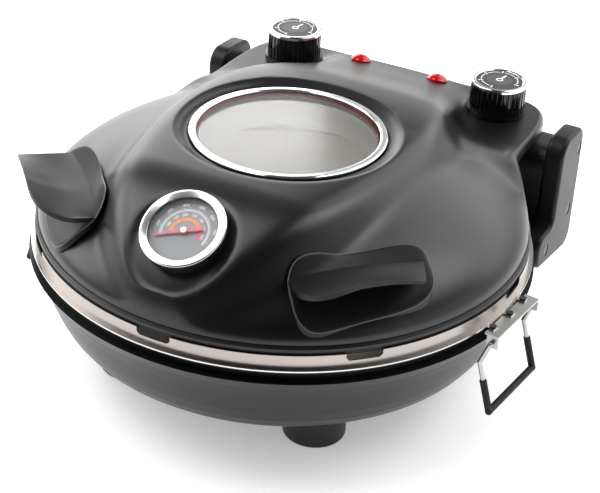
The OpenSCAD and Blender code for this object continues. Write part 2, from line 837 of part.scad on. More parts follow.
knob_trim_h = 3;
knob_face_r = knob_r - 3.6;
module knob(side) {
  z0 = bezel_h + 0.4;
  z1 = bezel_h + knob_h - knob_trim_h;
  color("#121213")
    at_knob(side) {
      difference() {
        translate([0, 0, z0]) cylinder(r = knob_r, h = z1 - z0);
        for (i = [0 : knob_grooves - 1])
          rotate([0, 0, 360 * i / knob_grooves])
            translate([knob_r + 0.35, 0, z0 - 1]) cylinder(r = 1, h = z1 - z0 + 2, $fn = 16);
      }
      translate([0, 0, z1 - 1]) cylinder(r = knob_face_r, h = knob_trim_h + 0.4);
      translate([0, 0, -2 * stub_l]) cylinder(r = shaft_r, h = 2 * stub_l + z0 + 1);
    }
}

module knob_trim(side) {
  z1 = bezel_h + knob_h;
  color("#e4e5e6")
    at_knob(side)
      rotate_extrude($fn = 120)
        polygon([
          [knob_face_r, z1 - knob_trim_h], [knob_r, z1 - knob_trim_h], [knob_r, z1 - 1.4],
          [knob_r - 1.2, z1 - 0.2], [knob_r - 2.4, z1], [knob_face_r, z1 - 0.6]
        ]);
}

lamp_stem_l = 11;
module pilot_lamp(side) {
  dome = 4;
  k = (lamp_r * lamp_r + dome * dome) / (2 * dome);
  a = asin(lamp_r / k);
  color("#c3131b")
    at_lamp(side) {
      rotate_extrude($fn = 64)
        polygon(concat([[0, 0], [lamp_r, 0], [lamp_r, 0.6]],
                       [for (p = arc(0, dome + 0.6 - k, k, 90 - a, 90)) p]));
      translate([0, 0, -lamp_stem_l]) cylinder(r = lamp_stem_r, h = lamp_stem_l);
    }
}

// ---------- base ----------

// Side of the housing from its lip down to its foot, moved inwards by inset
BOWL_LIP_PULL = [12.7, 17.4];
BOWL_FOOT_PULL = [24.6, 4.4];
function bowl_curve(inset) =
  let (foot_top = floor_z + 2, p = [
    [bowl_lip_r - inset, rim_floor - inset * 0.6],
    [bowl_lip_r - BOWL_LIP_PULL[0] - inset, rim_floor - BOWL_LIP_PULL[1]],
    [bowl_foot_r + BOWL_FOOT_PULL[0] - inset, foot_top + BOWL_FOOT_PULL[1] + inset * 0.4],
    [bowl_foot_r - inset * 0.6, foot_top + inset]
  ])
  [for (i = [0 : 8]) bezier(p, i / 8)];

// Black ring between pan and housing
spacer_r = pan_r + pan_t + 2.5;
spacer_in = 5;

// Cord inlet, screws and feet
cord_z = floor_z + 24;
cord_r = 3.6;
bush_hole_r = 8;
screw_r = 1.8;
screw_hole_r = screw_r + drop_gap;
foot_screw_r = 2;
foot_screw_l = 14;
cover_lap = 7;
FOOT_ANGLES = [90 - foot_a, 90 + foot_a, 270 - foot_a, 270 + foot_a];
SCREW_ANGLES = [0, 90, 180, 270];

module at_angles(angles, r) {
  for (a = angles)
    rotate([0, 0, a]) translate([r, 0, 0]) children();
}

module base_housing() {
  outer = bowl_curve(0);
  inner = bowl_curve(bowl_wall);
  color("#343536")
    difference() {
      revolve(concat(
        outer,
        [[bowl_foot_r - 4, floor_z], [service_hole_r, floor_z],
         [service_hole_r, floor_z + bowl_wall], [bowl_foot_r - 5, floor_z + bowl_wall]],
        [for (i = [8 : -1 : 0]) inner[i]],
        [[bowl_lip_r - bowl_wall, rim_floor - bowl_wall], [spacer_r, rim_floor - bowl_wall],
         [spacer_r, rim_floor]]
      ));
      at_angles(SCREW_ANGLES, service_hole_r + cover_lap / 2)
        translate([0, 0, floor_z - 1]) cylinder(r = screw_hole_r, h = bowl_wall + 2, $fn = 24);
      at_angles(FOOT_ANGLES, foot_circle_r)
        translate([0, 0, floor_z - 1])
          cylinder(r = foot_screw_r + drop_gap, h = bowl_wall + 2, $fn = 24);
      translate([0, bowl_foot_r, cord_z]) rotate([-90, 0, 0])
        cylinder(r = bush_hole_r, h = 60);
    }
}

module rim_spacer() {
  color("#101011") ring(spacer_r, rim_r - spacer_in, rim_floor, rim_z - pan_t);
}

// Frame of a bail: X out along the radius, Y along the pivot line
module at_bail(side) {
  rotate([0, 0, side * bail_a - 90]) children();
}

// Tabs of the flange, riveted to the bail's bracket
TAB_ANGLES = [-6.8, 0, 6.8];
tab_w = 6;
tab_l = 6;
rivet_at_r = rim_r + 3.4;
rivet_r = 1.7;
lower_ring_z = well_z + lower_ring_up;

module pan() {
  t = pan_t;
  color("#c8c4bf")
    difference() {
      union() {
        revolve([
          [rim_r, rim_z], [rim_r, rim_z - t], [pan_r + t, rim_z - t], [pan_r + t, ledge_z - t],
          [well_r + t, ledge_z - t], [well_r + t, well_z - t], [0, well_z - t], [0, well_z],
          [well_r, well_z], [well_r, ledge_z], [pan_r, ledge_z], [pan_r, rim_z]
        ]);
        for (side = SIDES, a = TAB_ANGLES)
          at_bail(side) rotate([0, 0, a]) translate([rim_r - 1, -tab_w / 2, rim_z - t])
            cube([tab_l + 1, tab_w, t]);
      }
      for (side = SIDES, a = TAB_ANGLES)
        at_bail(side) rotate([0, 0, a]) translate([rivet_at_r, 0, rim_z - 5])
          cylinder(r = rivet_r + run_gap, h = 10, $fn = 24);
      for (s = SIDES)
        translate([s * tail_x, sqrt(lower_ring_r * lower_ring_r - tail_x * tail_x), well_z - 5])
          cylinder(r = tube_r + 0.5, h = 10, $fn = 24);
    }
}

module vent_collar() {
  z1 = rim_z + collar_h;
  color("#d8d3ce")
    difference() {
      ring(collar_r - collar_t, collar_r, rim_z, z1);
      for (i = [0 : vent_count - 1])
        rotate([0, 0, 360 * i / vent_count - 90])
          translate([collar_r - 5, 0, 0]) rotate([90, 0, 90])
            linear_extrude(10)
              polygon([
                [-vent_w / 2, z1 + 1], [-vent_w / 2, z1 - vent_h + 2],
                [-vent_w / 2 + 2, z1 - vent_h], [vent_w / 2 - 2, z1 - vent_h],
                [vent_w / 2, z1 - vent_h + 2], [vent_w / 2, z1 + 1]
              ]);
    }
}

module pizza_stone() {
  c = 1.5;
  color("#cbb292")
    revolve([
      [0, ledge_z], [stone_r - c, ledge_z], [stone_r, ledge_z + c], [stone_r, stone_top - c],
      [stone_r - c, stone_top], [0, stone_top]
    ]);
}

module lower_element() {
  color("#8d8a86") heating_ring(lower_ring_r, lower_ring_z, tail_x, shield_z + 3);
}

module lower_element_clips() {
  color("#b8babb")
    for (a = [-90, 0, 90])
      rotate([0, 0, a]) translate([-clip_w / 2, -lower_ring_r - clip_t / 2, well_z])
        cube([clip_w, clip_t, lower_ring_z - tube_r - well_z]);
}

// Bright sheet under the well, on three posts
shield_r = well_r - 15;
shield_t = 1;
module heat_shield() {
  color("#bfc1c2") translate([0, 0, shield_z]) cylinder(r = shield_r, h = shield_t, $fn = 120);
}

module shield_posts() {
  color("#a8aaab")
    at_angles([90, 210, 330], shield_r - 10)
      translate([0, 0, floor_z + bowl_wall]) cylinder(r = 4, h = shield_z - floor_z - bowl_wall);
}

cover_t = 1.5;
module floor_cover() {
  color("#9fa1a2")
    difference() {
      translate([0, 0, floor_z - cover_t]) cylinder(r = service_hole_r + cover_lap, h = cover_t, $fn = 120);
      at_angles(SCREW_ANGLES, service_hole_r + cover_lap / 2)
        translate([0, 0, floor_z - 5]) cylinder(r = screw_hole_r, h = 10, $fn = 24);
      for (r = [25, 45, 65])
        at_angles([for (i = [0 : 11]) 30 * i + 15], r)
          translate([0, 0, floor_z - 5]) cylinder(r = 3, h = 10, $fn = 24);
    }
}

module floor_screws() {
  color("#8f9193") {
    at_angles(SCREW_ANGLES, service_hole_r + cover_lap / 2) {
      translate([0, 0, floor_z - cover_t - 1.8]) cylinder(r = 3.2, h = 1.8, $fn = 32);
      translate([0, 0, floor_z - cover_t]) cylinder(r = screw_r, h = 6, $fn = 24);
    }
    at_angles(FOOT_ANGLES, foot_circle_r) {
      translate([0, 0, floor_z + bowl_wall]) cylinder(r = 4, h = 2.4, $fn = 32);
      translate([0, 0, floor_z - foot_screw_l])
        cylinder(r = foot_screw_r, h = foot_screw_l + bowl_wall, $fn = 24);
    }
  }
}

pad_t = 2.5;
pad_rim = 4;
pad_proud = 0.8;
module feet() {
  c = 2.5;
  color("#1d1d1e")
    difference() {
      at_angles(FOOT_ANGLES, foot_circle_r)
        rotate_extrude()
          polygon(concat(
            [[0, floor_z], [0, pad_proud]], arc(foot_r - c, pad_proud + c, c, -90, 0),
            [[foot_r, floor_z]]
          ));
      at_angles(FOOT_ANGLES, foot_circle_r) {
        translate([0, 0, -1]) cylinder(r = foot_r - pad_rim, h = pad_t + 1);
        translate([0, 0, floor_z - foot_screw_l]) cylinder(r = foot_screw_r, h = 20, $fn = 24);
      }
    }
}

module foot_pads() {
  color("#0d0d0d")
    at_angles(FOOT_ANGLES, foot_circle_r)
      cylinder(r = foot_r - pad_rim - drop_gap, h = pad_t);
}

block_y = service_hole_r + 14;
block_size = [44, 18, 12];
module terminal_block() {
  color("#e5e1d3")
    difference() {
      translate([-block_size[0] / 2, block_y, floor_z + bowl_wall]) cube(block_size);
      for (i = [-1.5 : 1 : 1.5])
        translate([i * 10, block_y + block_size[1] / 2, floor_z + bowl_wall + 4])
          cylinder(r = 2.5, h = 10, $fn = 24);
    }
}

module cord_bushing() {
  y0 = bowl_foot_r + 12;
  color("#151515")
    translate([0, y0, cord_z]) rotate([-90, 0, 0])
      difference() {
        union() {
          cylinder(r = bush_hole_r, h = 22);
          translate([0, 0, 22]) cylinder(r1 = bush_hole_r, r2 = 6, h = 6);
        }
        translate([0, 0, -1]) cylinder(r = cord_r, h = 40);
      }
}

// ---------- hinge arms, as seen from the side in Y and Z ----------

knuckle_r = pin_r + 8;
arm_toe_z = rim_z - 26;
toe_front = hinge_y - 59;
core_front = hinge_y - 30;
core_rear = hinge_y + knuckle_r;
core_line = concat(
  [[toe_front + 1, arm_foot_z + 10], [toe_front + 1, arm_toe_z - 4], [toe_front + 5, arm_toe_z],
   [core_front, arm_toe_z], [core_front, rim_z + 14]],
  arc(core_front + 14, hinge_z + knuckle_r - 14, 14, 180, 90),
  arc(hinge_y, hinge_z, knuckle_r, 90, 0),
  [[core_rear, arm_foot_z + 4], [core_rear - 4, arm_foot_z], [hinge_y - 45, arm_foot_z]]
);

// Shoe in front of the toe, which carries the arm on the housing
shoe_w = 15;
shoe_line = [
  [toe_front - 22, arm_foot_z + 6], [toe_front - 22, arm_toe_z], [core_front, arm_toe_z],
  [core_front, arm_foot_z], [toe_front + 6, arm_foot_z]
];
SCREWS = [
  [hinge_y + 7, hinge_z + 5], [hinge_y + 2, rim_z - 27], [hinge_y - 41, rim_z - 42]
];

// Outline of an arm cover, moved inwards by i
function cover_line(i) = concat(
  arc(hinge_y - 48, arm_foot_z + 17, 11 - i, 180, 255),
  arc(hinge_y + 4, arm_foot_z + 10, 12 - i, 262, 360),
  arc(hinge_y + 2, hinge_z + 10, 13 - i, 0, 80),
  arc(hinge_y - 17, hinge_z + 10, 14 - i, 90, 180),
  arc(hinge_y - 39, arm_toe_z + 8, 8 + i, 0, -90),
  arc(hinge_y - 50, arm_toe_z - 9, 9 - i, 90, 180)
);

module bowl_solid() {
  revolve(concat([[0, rim_floor]], bowl_curve(0), [[bowl_foot_r - 4, floor_z], [0, floor_z]]));
}

module at_screws(x) {
  for (p = SCREWS)
    translate([x, p[0], p[1]]) rotate([0, 90, 0]) children();
}

arm_screw_r = 1.6;
arm_screw_l = 10;
module hinge_arm(side) {
  color("#141415")
    difference() {
      scale([side, 1, 1]) {
        side_plate(core_line, arm_x, cover_x);
        side_plate(shoe_line, arm_x, arm_x + shoe_w);
        side_plate(
          [[core_front - 24, arm_toe_z - 1], [core_front + 1, arm_toe_z - 1], [core_front + 1, rim_z + 2]],
          arm_x + 4, arm_x + 8
        );
      }
      bowl_solid();
      scale([side, 1, 1]) {
        translate([arm_x - 1, hinge_y, hinge_z]) rotate([0, 90, 0]) cylinder(r = pin_r, h = core_w + 2);
        at_screws(cover_x - arm_screw_l) cylinder(r = arm_screw_r, h = arm_screw_l + 1, $fn = 24);
      }
    }
}

cover_skin = 3;
head_drop = 4;
head_r = 4.2;
module arm_cover(side) {
  color("#4a4b4d")
    scale([side, 1, 1])
      difference() {
        side_plate(cover_line(0), cover_x, arm_out_x);
        difference() {
          side_plate(cover_line(cover_skin), cover_x - 1, arm_out_x - cover_skin);
          at_screws(cover_x - 2) cylinder(r = head_r + 1.8, h = 2 * cover_w);
        }
        at_screws(cover_x - 2) cylinder(r = arm_screw_r + 0.1, h = 2 * cover_w, $fn = 24);
        at_screws(arm_out_x - head_drop) cylinder(r = head_r + 0.3, h = 10, $fn = 32);
      }
}

module arm_screws() {
  color("#c6c8ca")
    for (side = SIDES)
      scale([side, 1, 1]) {
        at_screws(cover_x - arm_screw_l)
          cylinder(r = arm_screw_r, h = cover_w - head_drop + arm_screw_l, $fn = 24);
        at_screws(arm_out_x - head_drop) cylinder(r = head_r, h = 1.8, $fn = 32);
      }
}

module hinge_pin(side) {
  color("#b5b7b9")
    scale([side, 1, 1])
      translate([box_w - bush_l + 1, hinge_y, hinge_z]) rotate([0, 90, 0])
        cylinder(r = pin_r, h = arm_gap + core_w + bush_l - 1);
}

// ---------- carrying bails ----------

// Ears that hold the bail's wire, and the strip between them
ear_y = bail_w - 3;
ear_w = 8;
ear_l = 3.6;
bail_z = rim_z - bail_drop;
bracket_top = rim_z - pan_t;
bracket_w = 10;

module bail_bracket(side) {
  t = bracket_t;
  color("#d9dadb")
    at_bail(side)
      difference() {
        union() {
          translate([rim_r + 0.5, -ear_y - t / 2, bracket_top - t])
            cube([bracket_w, 2 * ear_y + t, t]);
          for (s = SIDES)
            translate([bail_pivot_r - ear_w / 2, s * ear_y - t / 2, bail_z - ear_l])
              cube([ear_w, t, bracket_top - bail_z + ear_l]);
        }
        translate([bail_pivot_r, -2 * bail_w, bail_z]) rotate([-90, 0, 0])
          cylinder(r = wire_r + run_gap, h = 4 * bail_w, $fn = 32);
        for (a = TAB_ANGLES)
          rotate([0, 0, a]) translate([rivet_at_r, 0, rim_z - 5])
            cylinder(r = rivet_r + run_gap, h = 10, $fn = 24);
      }
}

rivet_head_r = 2.3;
rivet_head_t = 0.9;
module bracket_rivets() {
  under = bracket_top - bracket_t;
  color("#3b3b3c")
    for (side = SIDES, a = TAB_ANGLES)
      at_bail(side) rotate([0, 0, a]) translate([rivet_at_r, 0, 0]) {
        translate([0, 0, under]) cylinder(r = rivet_r, h = rim_z - under, $fn = 24);
        translate([0, 0, rim_z]) cylinder(r = rivet_head_r, h = rivet_head_t, $fn = 24);
        translate([0, 0, under - rivet_head_t])
          cylinder(r = rivet_head_r, h = rivet_head_t, $fn = 24);
      }
}

// Rod between two points
module rod(p, q, r) {
  d = q - p;
  l = norm(d);
  translate(p) rotate([0, acos(d[2] / l), atan2(d[1], d[0])]) cylinder(r = r, h = l, $fn = 24);
}

// Rods through a list of points, with a ball at every bend
module bent_rod(path, r) {
  for (i = [0 : len(path) - 2])
    rod(path[i], path[i + 1], r);
  for (i = [1 : len(path) - 2])
    translate(path[i]) sphere(r = r + bend_bulge, $fn = 24);
}

knee = [bail_pivot_r - 5.7, bail_z - 15.8];
foot = [bail_pivot_r + 5.2, bail_z - bail_l];
function leg(s) = [
  [bail_pivot_r, s * (ear_y - 3), bail_z], [bail_pivot_r, s * bail_w, bail_z],
  [knee[0], s * bail_w, knee[1]], [foot[0], s * bail_w, foot[1]]
];
function back_to_front(l) = [for (i = [len(l) - 1 : -1 : 0]) l[i]];
wire_path = concat(leg(-1), back_to_front(leg(1)));

module bail_wire(side) {
  color("#cfd0d1") at_bail(side) bent_rod(wire_path, wire_r);
}

sleeve_from = 0.36;
function sleeve_start(s) = let (l = leg(s)) l[2] + (l[3] - l[2]) * sleeve_from;

module bail_sleeve(side) {
  color("#0f0f10")
    at_bail(side)
      difference() {
        bent_rod([sleeve_start(-1), leg(-1)[3], leg(1)[3], sleeve_start(1)], sleeve_r);
        bent_rod(wire_path, wire_r);
      }
}

// ---------- one module per named pair ----------

module hinge_arm_left() { hinge_arm(-1); }
module hinge_arm_right() { hinge_arm(1); }
module arm_cover_left() { arm_cover(-1); }
module arm_cover_right() { arm_cover(1); }
module hinge_pin_left() { hinge_pin(-1); }
module hinge_pin_right() { hinge_pin(1); }
module hinge_bush_left() { hinge_bush(-1); }
module hinge_bush_right() { hinge_bush(1); }
module bail_bracket_left() { bail_bracket(-1); }
module bail_bracket_right() { bail_bracket(1); }
module bail_wire_left() { bail_wire(-1); }
module bail_wire_right() { bail_wire(1); }
module bail_sleeve_left() { bail_sleeve(-1); }
module bail_sleeve_right() { bail_sleeve(1); }
module knob_bezel_left() { knob_bezel(-1); }
module knob_bezel_right() { knob_bezel(1); }
module knob_left() { knob(-1); }
module knob_right() { knob(1); }
module knob_trim_left() { knob_trim(-1); }
module knob_trim_right() { knob_trim(1); }
module pilot_lamp_left() { pilot_lamp(-1); }
module pilot_lamp_right() { pilot_lamp(1); }

base_housing();
rim_spacer();
pan();
vent_collar();
pizza_stone();
lower_element();
lower_element_clips();
heat_shield();
shield_posts();
floor_cover();
floor_screws();
feet();
foot_pads();
terminal_block();
cord_bushing();
hinge_arm_left();
hinge_arm_right();
arm_cover_left();
arm_cover_right();
arm_screws();
hinge_pin_left();
hinge_pin_right();
bail_bracket_left();
bail_bracket_right();
bracket_rivets();
bail_wire_left();
bail_sleeve_left();
bail_wire_right();
bail_sleeve_right();
lid_shell();
lid_rear_wall();
lid_ring();
lid_seal();
lid_liner();
upper_element();
upper_element_clips();
window_frame();
window_well();
window_gasket();
window_glass();
window_ring();
thermometer_case();
thermometer_bezel();
thermometer_dial();
thermometer_lens();
thermometer_needle();
handle_left();
handle_right();
control_housing();
hinge_bush_left();
hinge_bush_right();
thermostats();
knob_bezel_left();
knob_bezel_right();
knob_left();
knob_right();
knob_trim_left();
knob_trim_right();
pilot_lamp_left();
pilot_lamp_right();
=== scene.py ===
# %% [markdown]
# # An electric pizza maker
# A round table-top oven: a satin black lid with a raised tongue, a window, a dial thermometer
# and two thermostat knobs, hinged on two arms behind a plastic base.
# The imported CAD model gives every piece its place. This lesson dresses it: each step says
# what a piece or finish is on the real oven, how it could be made, and why this way.

# %% Load the frame
import math
import bpy
import numpy as np
from mathutils import Matrix, Vector


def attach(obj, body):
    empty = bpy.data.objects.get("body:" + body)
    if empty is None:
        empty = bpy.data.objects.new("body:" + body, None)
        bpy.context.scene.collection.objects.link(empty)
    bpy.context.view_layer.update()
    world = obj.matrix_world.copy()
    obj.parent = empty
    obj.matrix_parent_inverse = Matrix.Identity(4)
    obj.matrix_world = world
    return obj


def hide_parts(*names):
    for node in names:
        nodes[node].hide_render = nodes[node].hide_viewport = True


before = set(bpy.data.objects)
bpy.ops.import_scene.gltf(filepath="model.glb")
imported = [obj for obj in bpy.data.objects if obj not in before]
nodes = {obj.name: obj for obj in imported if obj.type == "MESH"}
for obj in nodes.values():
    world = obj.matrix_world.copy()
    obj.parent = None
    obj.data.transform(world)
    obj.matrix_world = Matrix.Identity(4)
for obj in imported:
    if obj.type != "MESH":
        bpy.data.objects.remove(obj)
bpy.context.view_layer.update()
scene = bpy.context.scene

# %% [markdown]
# ## The camera
# The camera stands in front of the oven, a little to its right, about half a metre above
# it. Its place and three angles are written out, so the view can be changed by hand.

# %% Camera
MM = 0.001
camera_data = bpy.data.cameras.new("camera")
camera_data.sensor_width = 36
camera_data.lens = 96.58
camera = bpy.data.objects.new("camera", camera_data)
scene.collection.objects.link(camera)
camera.location = (0.43818, -0.87334, 0.66307)
camera.rotation_euler = [math.radians(v) for v in (59.122, -2.887, 27.640)]
scene.camera = camera
scene.view_settings.view_transform = "Standard"
print("camera", round(camera.location.length, 3), "m from the middle of the base")

# %% [markdown]
# ## Helpers for colour and nodes
# Colours are read off a screen as sRGB hex values, but Blender mixes light in linear
# values, so one function turns them round. Another adds a node with its settings and
# links, so that a material reads as a short list.

# %% Colour and node helpers
def srgb(hex_colour, alpha=1.0):
    """Linear RGBA of an sRGB hex colour."""
    channels = [int(hex_colour[i:i + 2], 16) / 255 for i in (1, 3, 5)]
    linear = [c / 12.92 if c <= 0.04045 else ((c + 0.055) / 1.055) ** 2.4 for c in channels]
    return (*linear, alpha)


def add(material, kind, settings=None, **inputs):
    """Adds a node. settings are its properties; inputs are values or sockets to link."""
    tree = material.node_tree
    node = tree.nodes.new(kind)
    for key, value in (settings or {}).items():
        setattr(node, key, value)
    for key, value in inputs.items():
        name = key.replace("_", " ")
        socket = node.inputs[int(key[1:])] if key[0] == "i" and key[1:].isdigit() else node.inputs[name]
        if isinstance(value, bpy.types.NodeSocket):
            tree.links.new(value, socket)
        else:
            socket.default_value = value
    return node


def new_material(name, **inputs):
    """A material with one Principled shader set to these values."""
    material = bpy.data.materials.new(name)
    material.use_nodes = True
    material.node_tree.nodes.clear()
    shader = add(material, "ShaderNodeBsdfPrincipled", {"name": "surface"}, **inputs)
    out = add(material, "ShaderNodeOutputMaterial", Surface=shader.outputs["BSDF"])
    out.is_active_output = True
    return material


def link(material, socket, name):
    """Links a socket into the material's main shader."""
    material.node_tree.links.new(socket, material.node_tree.nodes["surface"].inputs[name])


def place(material, scale=(1, 1, 1)):
    """Object coordinates, in metres, stretched by scale."""
    source = add(material, "ShaderNodeTexCoord")
    return add(material, "ShaderNodeMapping", Vector=source.outputs["Object"], Scale=scale).outputs["Vector"]


def colour_ramp(material, factor, stops):
    """Colours between stops of (position, colour)."""
    node = add(material, "ShaderNodeValToRGB", Fac=factor)
    elements = node.color_ramp.elements
    while len(elements) < len(stops):
        elements.new(0.5)
    for element, (position, colour) in zip(elements, stops):
        element.position = position
        element.color = colour
    return node.outputs["Color"]


# %% [markdown]
# ## Plastics
# The base, arms and handles are ABS or PBT, moulded in steel tools. A spark-eroded tool
# leaves a fine grain of about 0.3 mm, which the eye reads as satin. A noise bump gives
# that grain, drawn a little coarser so that it shows, and a second, larger noise varies the
# gloss as handling does. The textured base, arms and handles shine less at a slant than a
# smooth moulding would, so their IOR is set a little lower.

# %% Moulded plastics
def moulded(name, colour, roughness, grain_mm=0.6, depth_mm=0.02, vary=0.06):
    """Moulded plastic with a fine tool grain and slightly uneven gloss."""
    material = new_material(name, Roughness=roughness, IOR=1.5)
    where = place(material)
    grain = add(material, "ShaderNodeTexNoise", Vector=where, Scale=1 / (grain_mm * MM), Detail=2.0)
    cloud = add(material, "ShaderNodeTexNoise", Vector=where, Scale=28.0, Detail=3.0)
    bump = add(material, "ShaderNodeBump", Height=grain.outputs["Fac"], Distance=depth_mm * MM, Strength=0.5)
    link(material, bump.outputs["Normal"], "Normal")
    gloss = add(material, "ShaderNodeMapRange", Value=cloud.outputs["Fac"], To_Min=roughness - vary,
                To_Max=roughness + vary)
    link(material, gloss.outputs["Result"], "Roughness")
    dark = srgb(colour)
    pale = tuple(min(1, c * 1.12) for c in dark[:3]) + (1,)
    link(material, colour_ramp(material, cloud.outputs["Fac"], [(0.35, dark), (0.7, pale)]), "Base Color")
    return material


base_plastic = moulded("satin black ABS", "#121314", 0.34)
black_plastic = moulded("matt black ABS", "#101112", 0.45)
arm_plastic = moulded("satin black arm ABS", "#161718", 0.42)
plug_plastic = moulded("grey screw plug", "#5c5e60", 0.4)
handle_plastic = moulded("matt black PBT", "#0e0f10", 0.4, grain_mm=0.8, depth_mm=0.02)
# Painted highlight: the bead's pale grey stands for the light on the rounded edge of a handle's base.
bead_highlight_grey = moulded("grey base bead", "#5d5f61", 0.35)
cream_plastic = moulded("cream ceramic block", "#d9d2bf", 0.55)
gloss_plastic = moulded("gloss black ABS", "#0e0f10", 0.12, depth_mm=0.004, vary=0.03)
for material, ior in ((base_plastic, 1.44), (arm_plastic, 1.34), (handle_plastic, 1.4)):
    material.node_tree.nodes["surface"].inputs["IOR"].default_value = ior
print("plastics ready")

# %% [markdown]
# ## Lid enamel
# The lid is pressed sheet with a baked silicone enamel in satin black. It has a slight
# orange peel, and its gloss makes long soft highlights along the shoulders of the tongue.

# %% Lid enamel
lid_enamel = new_material("satin black enamel", Base_Color=srgb("#101112"), Roughness=0.32, IOR=1.5)
where = place(lid_enamel)
peel = add(lid_enamel, "ShaderNodeTexNoise", Vector=where, Scale=900.0, Detail=2.0)
bump = add(lid_enamel, "ShaderNodeBump", Height=peel.outputs["Fac"], Distance=0.00002, Strength=0.5)
link(lid_enamel, bump.outputs["Normal"], "Normal")
haze = add(lid_enamel, "ShaderNodeTexNoise", Vector=where, Scale=22.0, Detail=4.0)
spread = add(lid_enamel, "ShaderNodeMapRange", Value=haze.outputs["Fac"], To_Min=0.29, To_Max=0.36)
link(lid_enamel, spread.outputs["Result"], "Roughness")

# %% [markdown]
# ## Steel
# The pan is plain sheet, its flange bright. The collar is brushed round the oven, so its
# lines run level: a noise that is stretched along the surface and squeezed in height. Its
# steel is painted darker towards the oven's left side: a painted dark reflection, while the
# real steel is one colour.

# %% Steel and chrome
def sheet_steel(name, colour, roughness, lines_mm=0.25, level=True):
    """Steel with fine level lines, or with an even grain."""
    material = new_material(name, Metallic=1.0, Roughness=roughness)
    stretch = (4, 4, 1 / (lines_mm * MM)) if level else (60, 60, 60)
    lines = add(material, "ShaderNodeTexNoise", Vector=place(material, stretch), Scale=1.0, Detail=3.0)
    gloss = add(material, "ShaderNodeMapRange", Value=lines.outputs["Fac"], To_Min=roughness - 0.04,
                To_Max=roughness + 0.05)
    link(material, gloss.outputs["Result"], "Roughness")
    base = srgb(colour)
    dim = tuple(c * 0.93 for c in base[:3]) + (1,)
    link(material, colour_ramp(material, lines.outputs["Fac"], [(0.3, dim), (0.7, base)]), "Base Color")
    bump = add(material, "ShaderNodeBump", Height=lines.outputs["Fac"], Distance=0.00001, Strength=0.4)
    link(material, bump.outputs["Normal"], "Normal")
    return material


COLLAR_GREY = "#aaa29d"
COLLAR_PAINTED_REFLECTION = "#6b625d"
collar_steel = sheet_steel("brushed collar steel", COLLAR_GREY, 0.34)
# Painted reflection: the collar darkens towards the left as a dark reflection would; the steel itself is one
# colour.
across = add(collar_steel, "ShaderNodeSeparateXYZ", Vector=place(collar_steel))
share = add(collar_steel, "ShaderNodeMapRange", Value=across.outputs["X"], From_Min=-0.172, From_Max=-0.09)
painted_reflection = colour_ramp(collar_steel, share.outputs["Result"],
                   [(0.0, srgb(COLLAR_PAINTED_REFLECTION)), (1.0, srgb(COLLAR_GREY))])
link(collar_steel, painted_reflection, "Base Color")
pan_steel = sheet_steel("plain pan steel", "#cccac7", 0.22, level=False)
liner_steel = sheet_steel("plain liner steel", "#d2d4d5", 0.35, level=False)
heater_steel = sheet_steel("heat-stained sheath steel", "#6f675e", 0.45, level=False)
chrome = sheet_steel("polished chrome plate", "#f2f3f4", 0.12, level=False)
satin_steel = sheet_steel("satin bail steel", "#bdbcba", 0.32, level=False)
rivet_black = moulded("black rivet", "#2a2b2c", 0.4)
print("metals ready")

# %% [markdown]
# ## Stone, rubber, glass and lamps
# The stone is fired clay: warm beige with dark specks about 1 mm across. Rubber and
# silicone are matt. The glass is tempered and slightly hazy, and the lamp lenses are red
# acrylic. The stone glows very slightly: painted light for the daylight that reaches it
# through the glass, though the stone is no lamp.

# %% Stone, rubber, glass and lamps
fired_clay = new_material("fired clay stone", Roughness=0.85)
where = place(fired_clay)
speck = add(fired_clay, "ShaderNodeTexVoronoi", Vector=where, Scale=420.0)
cloud = add(fired_clay, "ShaderNodeTexNoise", Vector=where, Scale=30.0, Detail=5.0)
ground = colour_ramp(fired_clay, cloud.outputs["Fac"], [(0.3, srgb("#cdc4b2")), (0.75, srgb("#e0dacd"))])
dots = colour_ramp(fired_clay, speck.outputs["Distance"], [(0.12, srgb("#a39a88")), (0.2, srgb("#ffffff"))])
mixed = add(fired_clay, "ShaderNodeMix", {"data_type": "RGBA", "blend_type": "MULTIPLY"}, Factor=1.0,
            i6=ground, i7=dots)
link(fired_clay, mixed.outputs[2], "Base Color")
# Painted light: the clay also glows in its own colour, though it is no lamp.
link(fired_clay, mixed.outputs[2], "Emission Color")
fired_clay.node_tree.nodes["surface"].inputs["Emission Strength"].default_value = 0.15
bump = add(fired_clay, "ShaderNodeBump", Height=cloud.outputs["Fac"], Distance=0.0003, Strength=0.4)
link(fired_clay, bump.outputs["Normal"], "Normal")

rubber = moulded("black rubber", "#101011", 0.7, grain_mm=1.2, depth_mm=0.04)
red_silicone = moulded("red silicone", "#8a1f1a", 0.6)

clear_glass = new_material("clear tempered glass", Base_Color=srgb("#eef2f2"), Roughness=0.12, IOR=1.5,
                           Transmission_Weight=1.0, Alpha=0.35)
lens_glass = new_material("clear dial lens", Base_Color=srgb("#f4f6f6"), Roughness=0.02, IOR=1.5,
                          Transmission_Weight=1.0, Alpha=0.08)
red_acrylic = new_material("red acrylic lens", Base_Color=srgb("#c8101c"), Roughness=0.08, IOR=1.49,
                           Subsurface_Weight=0.3, Emission_Color=srgb("#b00a14"), Emission_Strength=0.15)
red_lacquer = new_material("red lacquer", Base_Color=srgb("#e4707c"), Roughness=0.35)
dial_ink = new_material("printed dial grey", Base_Color=srgb("#9a9c9e"), Roughness=0.45)
print("stone, rubber, glass and lamps ready")

# %% [markdown]
# ## Dress the CAD nodes
# Most pieces already have their true shape, so they only need their finish. A list gives
# each finish its nodes, and every node has to be in it once.

